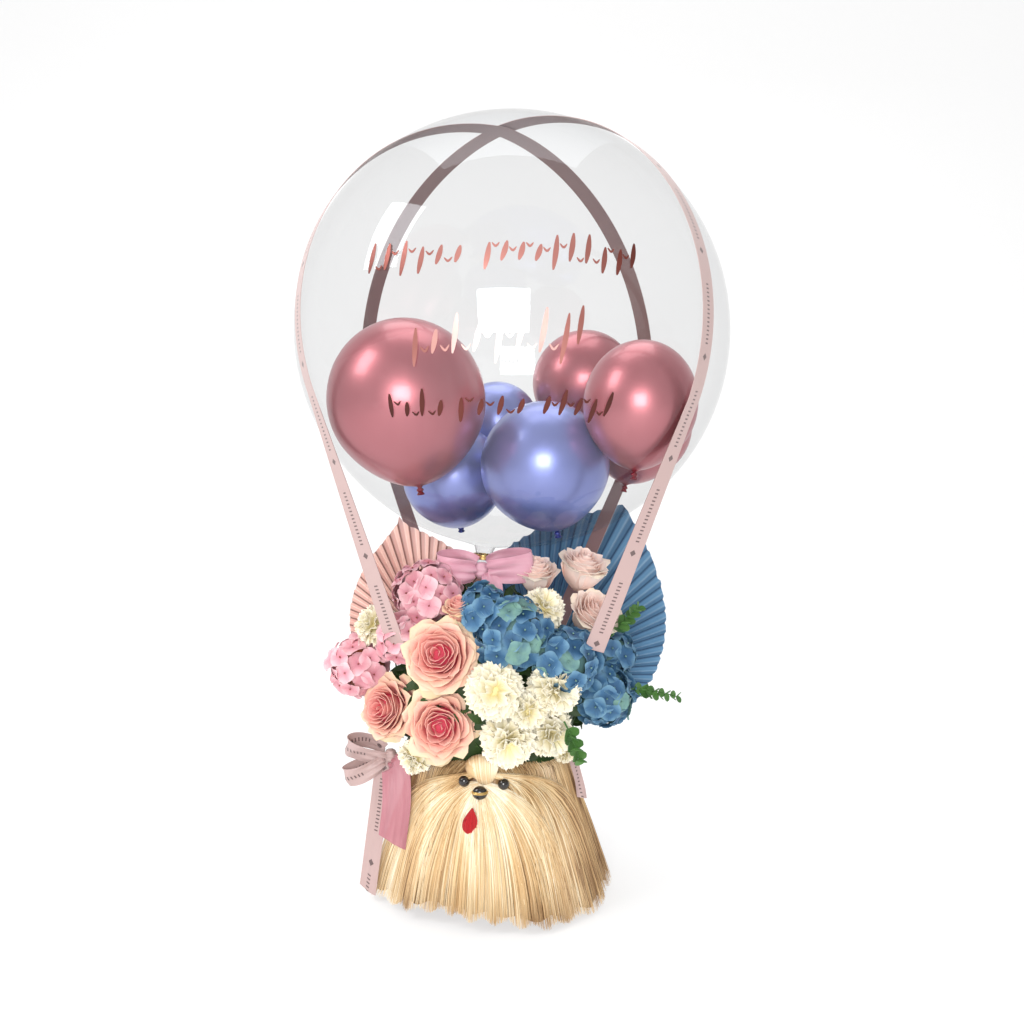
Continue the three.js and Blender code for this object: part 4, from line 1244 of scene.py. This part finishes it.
def topknot(paint):
    """A roll of hair over the face, whose strands come from the back and tuck under towards the nose."""
    random = np.random.default_rng(5)
    mesh = Mesh()
    mesh.tubes(turned(ball_profile(14, 0.03), 24) * TOPKNOT_SIZE * 0.95 + TOPKNOT, tint=0.4)
    along = random.uniform(-0.96, 0.96, TOPKNOT_STRANDS)[:, None]
    s = np.linspace(0, 1, 9)[None]
    swing = np.radians(118 - 235 * s)
    ring = np.sqrt(np.clip(1 - along**2, 0, 1))
    drawn = along * (1 - 0.5 * s**2) + 0.32 * s**2
    drop = 0.38 * bump(s - 0.8, 0.22)
    scale = random.uniform(0.97, 1.05, TOPKNOT_STRANDS)[:, None]
    on_ball = np.stack([drawn, -np.cos(swing) * ring * scale, (np.sin(swing) * scale - drop) * ring], -1)
    places = on_ball * TOPKNOT_SIZE + TOPKNOT
    out = unit(on_ball / TOPKNOT_SIZE)
    side = unit(np.cross(unit(np.gradient(places, axis=1)), out))
    widths = 0.42 * MM * (1 - 0.5 * s**4)
    # Painted highlight: the strands are lighter across the middle of the roll, a band of sheen.
    tones = 0.45 + 0.5 * bump(s - 0.42, 0.2)
    add_strands(mesh, places, side, out, widths, random.uniform(0, 1, TOPKNOT_STRANDS), tones)
    mesh.build("topknot_roll", paint, ["topknot"], sharp=80)


def hair_paint():
    """Blond hair: each strand has its own shade, from cream to dark umber, and painted shade darkens the
    right flank towards +X.
    """
    paint = Paint("hair_blond", "dcc096", 0.38, sheen_weight=0.15, sheen_roughness=0.4)
    streak = paint.noise(34, 3, paint.place((1, 1, 0.12)))
    tint = paint.math("MULTIPLY_ADD", paint.value("tint"), 0.55, -0.1)
    factor = paint.plus(tint, paint.times(paint.value("tone"), 0.6))
    factor = paint.plus(factor, paint.times(paint.math("SUBTRACT", streak, 0.5), 1.15))
    # Painted shade: the hair past the flank mark on X is darkened, more the further out it lies.
    across = paint.node("ShaderNodeSeparateXYZ", {0: paint.place()}, "X")
    flank_shade = paint.math("MAXIMUM", paint.math("SUBTRACT", across, RIGHT_FLANK_SHADE_FROM), 0.0)
    factor = paint.math("SUBTRACT", factor, paint.times(flank_shade, 4.0))
    base = paint.ramp(
        factor,
        (0.0, "7d5a3a"), (0.18, "b48d5f"), (0.42, "d8b685"),
        (0.65, "e8cfa4"), (0.85, "f4e6c8"), (1.0, "fbf3e2"),
    )
    return paint.finished(base, paint.noise(1, 2, paint.place((900, 900, 60))), 0.15 * MM)


def pot(paint):
    """A plain tapered pot with a rolled rim, open and hollow."""
    roll = 2 * MM
    rolled = np.radians(np.linspace(-60, 180, 9))
    rim = np.stack([np.cos(rolled), np.sin(rolled)], -1) * roll + [POT_RIM - roll, POT_HEIGHT - roll]
    foot = [[0.5 * MM, 0], [POT_FOOT - 4 * MM, 0], [POT_FOOT - 1 * MM, 0.8 * MM], [POT_FOOT, 3 * MM]]
    below_rim = POT_HEIGHT - 12 * MM
    low, high = POT_FOOT + 0.3 * MM, POT_RIM - roll
    wall = np.stack([np.linspace(low, high, 10), np.linspace(6 * MM, below_rim, 10)], -1)
    inside = [
        [high + 1.6 * MM - POT_WALL, below_rim],
        [low + 0.2 * MM - POT_WALL, 2 * POT_FLOOR],
        [POT_FOOT - 6 * MM, POT_FLOOR + 0.3 * MM],
        [0.5 * MM, POT_FLOOR],
    ]
    mesh = Mesh()
    mesh.tubes(turned(np.concatenate([foot, wall, rim, inside]), 72)[:, ::-1])
    mesh.build("pot_shell", paint, ["pot"], sharp=40)


def pot_paint():
    paint = Paint("pot_mauve", "b39199", 0.45)
    base = paint.mix(paint.noise(40, 4), colour("ab8890"), colour("bb9aa2"))
    return paint.finished(base, paint.noise(500, 2), 0.1 * MM)


def bead(name, middle, size, paint, replaces):
    """A glossy round button."""
    mesh = Mesh()
    mesh.tubes(turned(ball_profile(25, 0.01), 36) * size + middle)
    mesh.build(name, paint, replaces)


def face(button, gold, thread):
    """Button eyes, a button nose with a gold thread round it, and a tongue of red thread."""
    for name, middle in EYES.items():
        bead(f"{name}_button", middle, np.full(3, EYE_RADIUS), button, [name])
    bead("nose_button", NOSE, NOSE_SIZE, button, ["nose"])
    turn = np.radians(np.linspace(180, 360, 25))
    mesh = Mesh()
    for row in range(4):
        height = (row - 1.5) * 0.8
        ring = math.sqrt(1 - (height / 8) ** 2)
        x = (NOSE_SIZE[0] + 0.35 * MM) * ring * np.cos(turn)
        y = (NOSE_SIZE[1] + 0.35 * MM) * ring * np.sin(turn)
        z = height * MM + 0.4 * MM * np.sin(turn)
        mesh.tubes(tube_line(np.stack([x, y, z], -1) + NOSE + mm(0, 0, 1.5), 0.42 * MM))
    mesh.build("nose_gold_thread", gold)
    tongue(thread)


def tongue(paint):
    """A drop of red threads, pointed above and rounded below."""
    random = np.random.default_rng(3)
    across = np.linspace(-1, 1, TONGUE_THREADS)[:, None]
    s = np.linspace(0, 1, 10)[None]
    shape = np.sin(np.clip(s * 0.62 + 0.02, 0, 1) * math.pi) ** 1.1
    x = across * 0.5 * TONGUE_WIDTH * shape * np.where(across > 0, 0.8, 1.0) + 3.0 * MM * (1 - s)
    drop = TONGUE_HEIGHT * (0.5 - s * (1 - 0.16 * across**2))
    depth = -0.5 * TONGUE_DEPTH * np.sqrt(np.clip(1 - across**2, 0, 1)) * shape
    y = depth * math.cos(TONGUE_LEAN) - drop * math.sin(TONGUE_LEAN)
    z = drop * math.cos(TONGUE_LEAN) + depth * math.sin(TONGUE_LEAN)
    places = np.stack([x, y, z], -1) + TONGUE
    mesh = Mesh()
    for line in places:
        mesh.tubes(tube_line(line, 0.45 * MM, 5), tint=random.uniform(0, 1))
    back = places.copy()
    back[..., 1] += 1.5 * MM
    mesh.sheets(np.swapaxes(back[::6], 0, 1)[None], 1.5 * MM, tint=0.2)
    mesh.build("tongue_threads", paint, ["tongue"])


def plain_paints():
    """Gold metal thread, black gloss buttons and red thread."""
    gold = Paint("gold_thread", "d9b36a", 0.28, metallic=1.0)
    twist = gold.noise(1, 2, gold.place((1500, 1500, 1500)))
    gold.finished(gold.mix(gold.noise(300, 2), colour("c79a4a"), colour("f0d79a")), twist, 0.2 * MM)
    button = Paint("black_button", "14110f", 0.12, coat_weight=0.6, coat_roughness=0.04)
    button.set("Base Color", button.mix(button.noise(90, 3), colour("0e0c0b"), colour("221d1a")))
    thread = Paint("tongue_red", "cc1420", 0.5)
    fibres = thread.noise(1, 2, thread.place((1200, 1200, 90)))
    thread.finished(thread.mix(thread.value("tint"), colour("86060f"), colour("cd1320")), fibres, 0.2 * MM)
    return gold.material, button.material, thread.material


def neck_cord(paint):
    """The gold cord that is wound round the gathered neck."""
    angle = np.linspace(0, CORD_TURNS * 2 * math.pi, CORD_TURNS * 28)
    fall = np.linspace(NECK_TIE_FROM + 1.4 * MM, NECK_TIE_TO - 1.4 * MM, len(angle))
    radius = NECK_TIE_RADIUS - 1.8 * MM
    line = np.stack([radius * np.cos(angle), radius * np.sin(angle), -fall], -1)
    mesh = Mesh()
    mesh.tubes(tube_line(in_bubble(line), CORD_RADIUS, 8))
    mesh.build("neck_cord_gold", paint, ["neck_tie"])


# ---- Rose-gold strokes on the film ---------------------------------------------------------------

# Each row: its groups of strokes from one azimuth to another, the height of its middle in degrees, how tall
# the strokes are in millimetres, how far apart in degrees, and how light the foil is painted at its ends and
# middle, a painted reflection of the key light that is lightest in the middle row.
STROKE_ROWS = {
    "print_row_upper": (((-121, -101), (-95, -64)), 6, 26, 2.9, (0.18, 0.62)),
    "print_row_middle": (((-111, -79),), -11, 36, 3.9, (0.5, 1.0)),
    "print_row_lower": (((-120, -107), (-102, -88), (-82, -67)), -25, 25, 2.9, (0.04, 0.2)),
}
PRINT_LIFT = 0.8 * MM
BAR_WIDTH = 5.6 * MM
ARC_WIDTH = 2.4 * MM
STROKE_POINTS = 22


def on_film(azimuth, elevation):
    """Places just outside the film, seen from the bubble's middle in degrees."""
    angle = np.radians(elevation)
    direction = around_axis(azimuth, np.cos(angle), np.sin(angle))
    local = direction @ LEANING
    reach = 1 / np.linalg.norm(local / (BUBBLE_SIZE + PRINT_LIFT), axis=-1)
    return direction * reach[..., None] + BUBBLE_MIDDLE, direction


def brushed(mesh, azimuths, elevations, widest, tone):
    """One stroke of foil on the film, widest in its middle and fine at both ends."""
    course = smooth_line(np.stack([azimuths, elevations], -1), STROKE_POINTS)
    places, facing = on_film(course[:, 0], course[:, 1])
    width = widest * np.sin(np.linspace(0.12, math.pi - 0.12, STROKE_POINTS)) ** 0.6
    mesh.sheets(strip(places, facing, width, 3), 0.35 * MM, tone=tone)


def stroke_row(name, paint):
    """Bars that all slant one way, with thin loose arcs between them. None touch, so none make a letter."""
    groups, elevation, tall, pitch, (at_ends, at_middle) = STROKE_ROWS[name]
    random = np.random.default_rng(tall)
    mesh = Mesh()
    half = math.degrees(tall * MM / BUBBLE_RADIUS) / 2
    first, last = groups[0][0], groups[-1][1]
    for start, end in groups:
        count = int((end - start) / pitch)
        places = np.linspace(start, end, count)
        tops = elevation + half * random.choice([0.45, 0.6, 1.25, 0.7, 1.5], count)
        feet = elevation - half * random.choice([0.8, 0.9, 0.85, 1.5], count)
        leans = random.uniform(0.16, 0.24, count) * pitch
        for i in range(count):
            # Painted reflection: the foil is lighter towards the middle of the print, where the key light is
            # mirrored.
            tone = at_ends + (at_middle - at_ends) * math.sin(math.pi * (places[i] - first) / (last - first))
            slant = places[i] + leans[i] * np.array([1, 0.15, -1])
            brushed(mesh, slant, np.array([tops[i], (tops[i] + feet[i]) / 2, feet[i]]), BAR_WIDTH, tone)
            if i + 1 < count:
                gap = places[i + 1] - places[i]
                onward = places[i] + gap * np.array([0.28, 0.5, 0.72])
                level = elevation + half * random.choice([-0.55, 0.1, 0.45])
                brushed(mesh, onward, level + half * np.array([0.12, -0.16, 0.12]), ARC_WIDTH, tone)
    if name == "print_row_middle":
        last_bar = np.array([-75.4, -75.8, -76.2])
        brushed(mesh, last_bar, elevation + half * np.array([1.7, 0.7, -0.4]), BAR_WIDTH, 0.45)
    mesh.build(name, paint)


def print_paint():
    """Rose-gold foil, from dark copper to pale pink by each stroke's tone: a painted reflection, lightest
    where the key light is mirrored.
    """
    paint = Paint("print_rose_gold", "b8736a", 0.3, metallic=0.55)
    factor = paint.math("MULTIPLY_ADD", paint.noise(16, 2), 0.24, -0.12)
    factor = paint.plus(factor, paint.value("tone"))
    base = paint.ramp(factor, (0.0, "421a15"), (0.3, "7a3d34"), (0.62, "cc8b82"), (1.0, "f8dcd4"))
    return paint.finished(base, paint.noise(300, 2), 0.05 * MM)


# ---- Camera, stage and lights --------------------------------------------------------------------

CAMERA_PLACE = (0.029, -1.064, 0.487)
CAMERA_LENS = 28.27  # millimetres, for a picture 36 mm wide
LIGHTS_AIM = (0, 0, 0.5)


def soft_box(name, place, size, power):
    """A white rectangular studio light that looks at LIGHTS_AIM."""
    light = bpy.data.lights.new(name, "AREA")
    light.shape = "RECTANGLE"
    light.size, light.size_y = size
    light.energy = power
    lamp = bpy.data.objects.new(name, light)
    lamp.location = place
    look = unit(np.subtract(LIGHTS_AIM, place))
    across = unit(np.cross(look, [0, 0, 1]))
    turn = np.stack([across, np.cross(across, look), -look], -1)
    lamp.rotation_euler = Matrix(turn.tolist()).to_euler()
    bpy.context.scene.collection.objects.link(lamp)


def studio():
    """A pale seamless floor that curves up behind, an even white room, and soft boxes."""
    half_width, front, curve_from, curve_radius, top = 6.0, -6.0, 1.2, 1.0, 6.0
    arc = np.radians(np.linspace(-90, 0, 16))
    bend = np.stack([curve_from + curve_radius * np.cos(arc), curve_radius + curve_radius * np.sin(arc)], -1)
    line = np.concatenate([[[front, 0]], bend, [[curve_from + curve_radius, top]]])
    points = np.array([[[x, y, z] for x in (half_width, -half_width)] for y, z in line])
    mesh = bpy.data.meshes.new("studio_floor")
    mesh.from_pydata(points.reshape(-1, 3).tolist(), [], grid_quads(len(line), 2, closed=False).tolist())
    mesh.shade_smooth()
    paint = Paint("studio_white", "b4b4b4", 0.95)
    paint.set("Emission Color", (1, 1, 1, 1))
    paint.set("Emission Strength", 0.56)
    mesh.materials.append(paint.material)
    floor = bpy.data.objects.new("studio_floor", mesh)
    bpy.context.scene.collection.objects.link(floor)
    world = bpy.data.worlds.new("studio_room")
    world.use_nodes = True
    room = world.node_tree.nodes["Background"].inputs
    room["Color"].default_value = (1, 1, 1, 1)
    room["Strength"].default_value = 0.62
    bpy.context.scene.world = world
    soft_box("key_light", (-0.1, -2.0, 0.72), (0.8, 0.7), 26)
    soft_box("left_light", (-2.0, -0.9, 2.3), (0.9, 1.3), 30)
    soft_box("top_light", (0, 0.4, 2.6), (1.6, 1.6), 22)


def camera():
    """Level, in front of the bouquet, at the height of the bubble's lower half."""
    data = bpy.data.cameras.new("camera")
    data.lens = CAMERA_LENS
    data.sensor_width = 36
    data.clip_start = 0.05
    eye = bpy.data.objects.new("camera", data)
    eye.location = CAMERA_PLACE
    eye.rotation_euler = (math.radians(90), 0, 0)
    bpy.context.scene.collection.objects.link(eye)
    bpy.context.scene.camera = eye
    bpy.context.scene.view_settings.view_transform = "Standard"
    bpy.context.scene.view_settings.look = "None"


# ---- Assembly ------------------------------------------------------------------------------------

camera()
studio()
bubble_film()
inner_balloons()
over_bubble = ribbon_paint("ribbon_satin_stretched", shade_inner_face=True)
satin = ribbon_paint("ribbon_satin", shade_inner_face=False)
for ribbon_name in RIBBONS:
    ribbon(ribbon_name, over_bubble)
printed = print_paint()
for row_name in STROKE_ROWS:
    stroke_row(row_name, printed)
gold_cord, black_gloss, red_thread = plain_paints()
neck_cord(gold_cord)
leaf_bed(leaf_paint("leaves_dark", "16260f", "4b6b34", 0.5))
organza = organza_paint("organza_pink", "e394ac", "f8cdd8")
bows(satin, organza, organza_paint("organza_rose", "a65f6c", "d2919a"))
blooms(petal_paints())
palm_fan("palm_fan_pink", fan_paint("palm_pink", "6f4033", "f0c8bc", "fae2d8"))
palm_fan("palm_fan_blue", fan_paint("palm_blue", "27486a", "628fb2", "93b4cc"))
eucalyptus_green = leaf_paint("eucalyptus_green", "2f5a24", "5e8f45", 0.4)
for sprig_name, sprig_facts in SPRIGS.items():
    eucalyptus(sprig_name, *sprig_facts, eucalyptus_green)
pot(pot_paint())
blond = hair_paint()
hair_coat(blond)
topknot(blond)
face(black_gloss, gold_cord, red_thread)
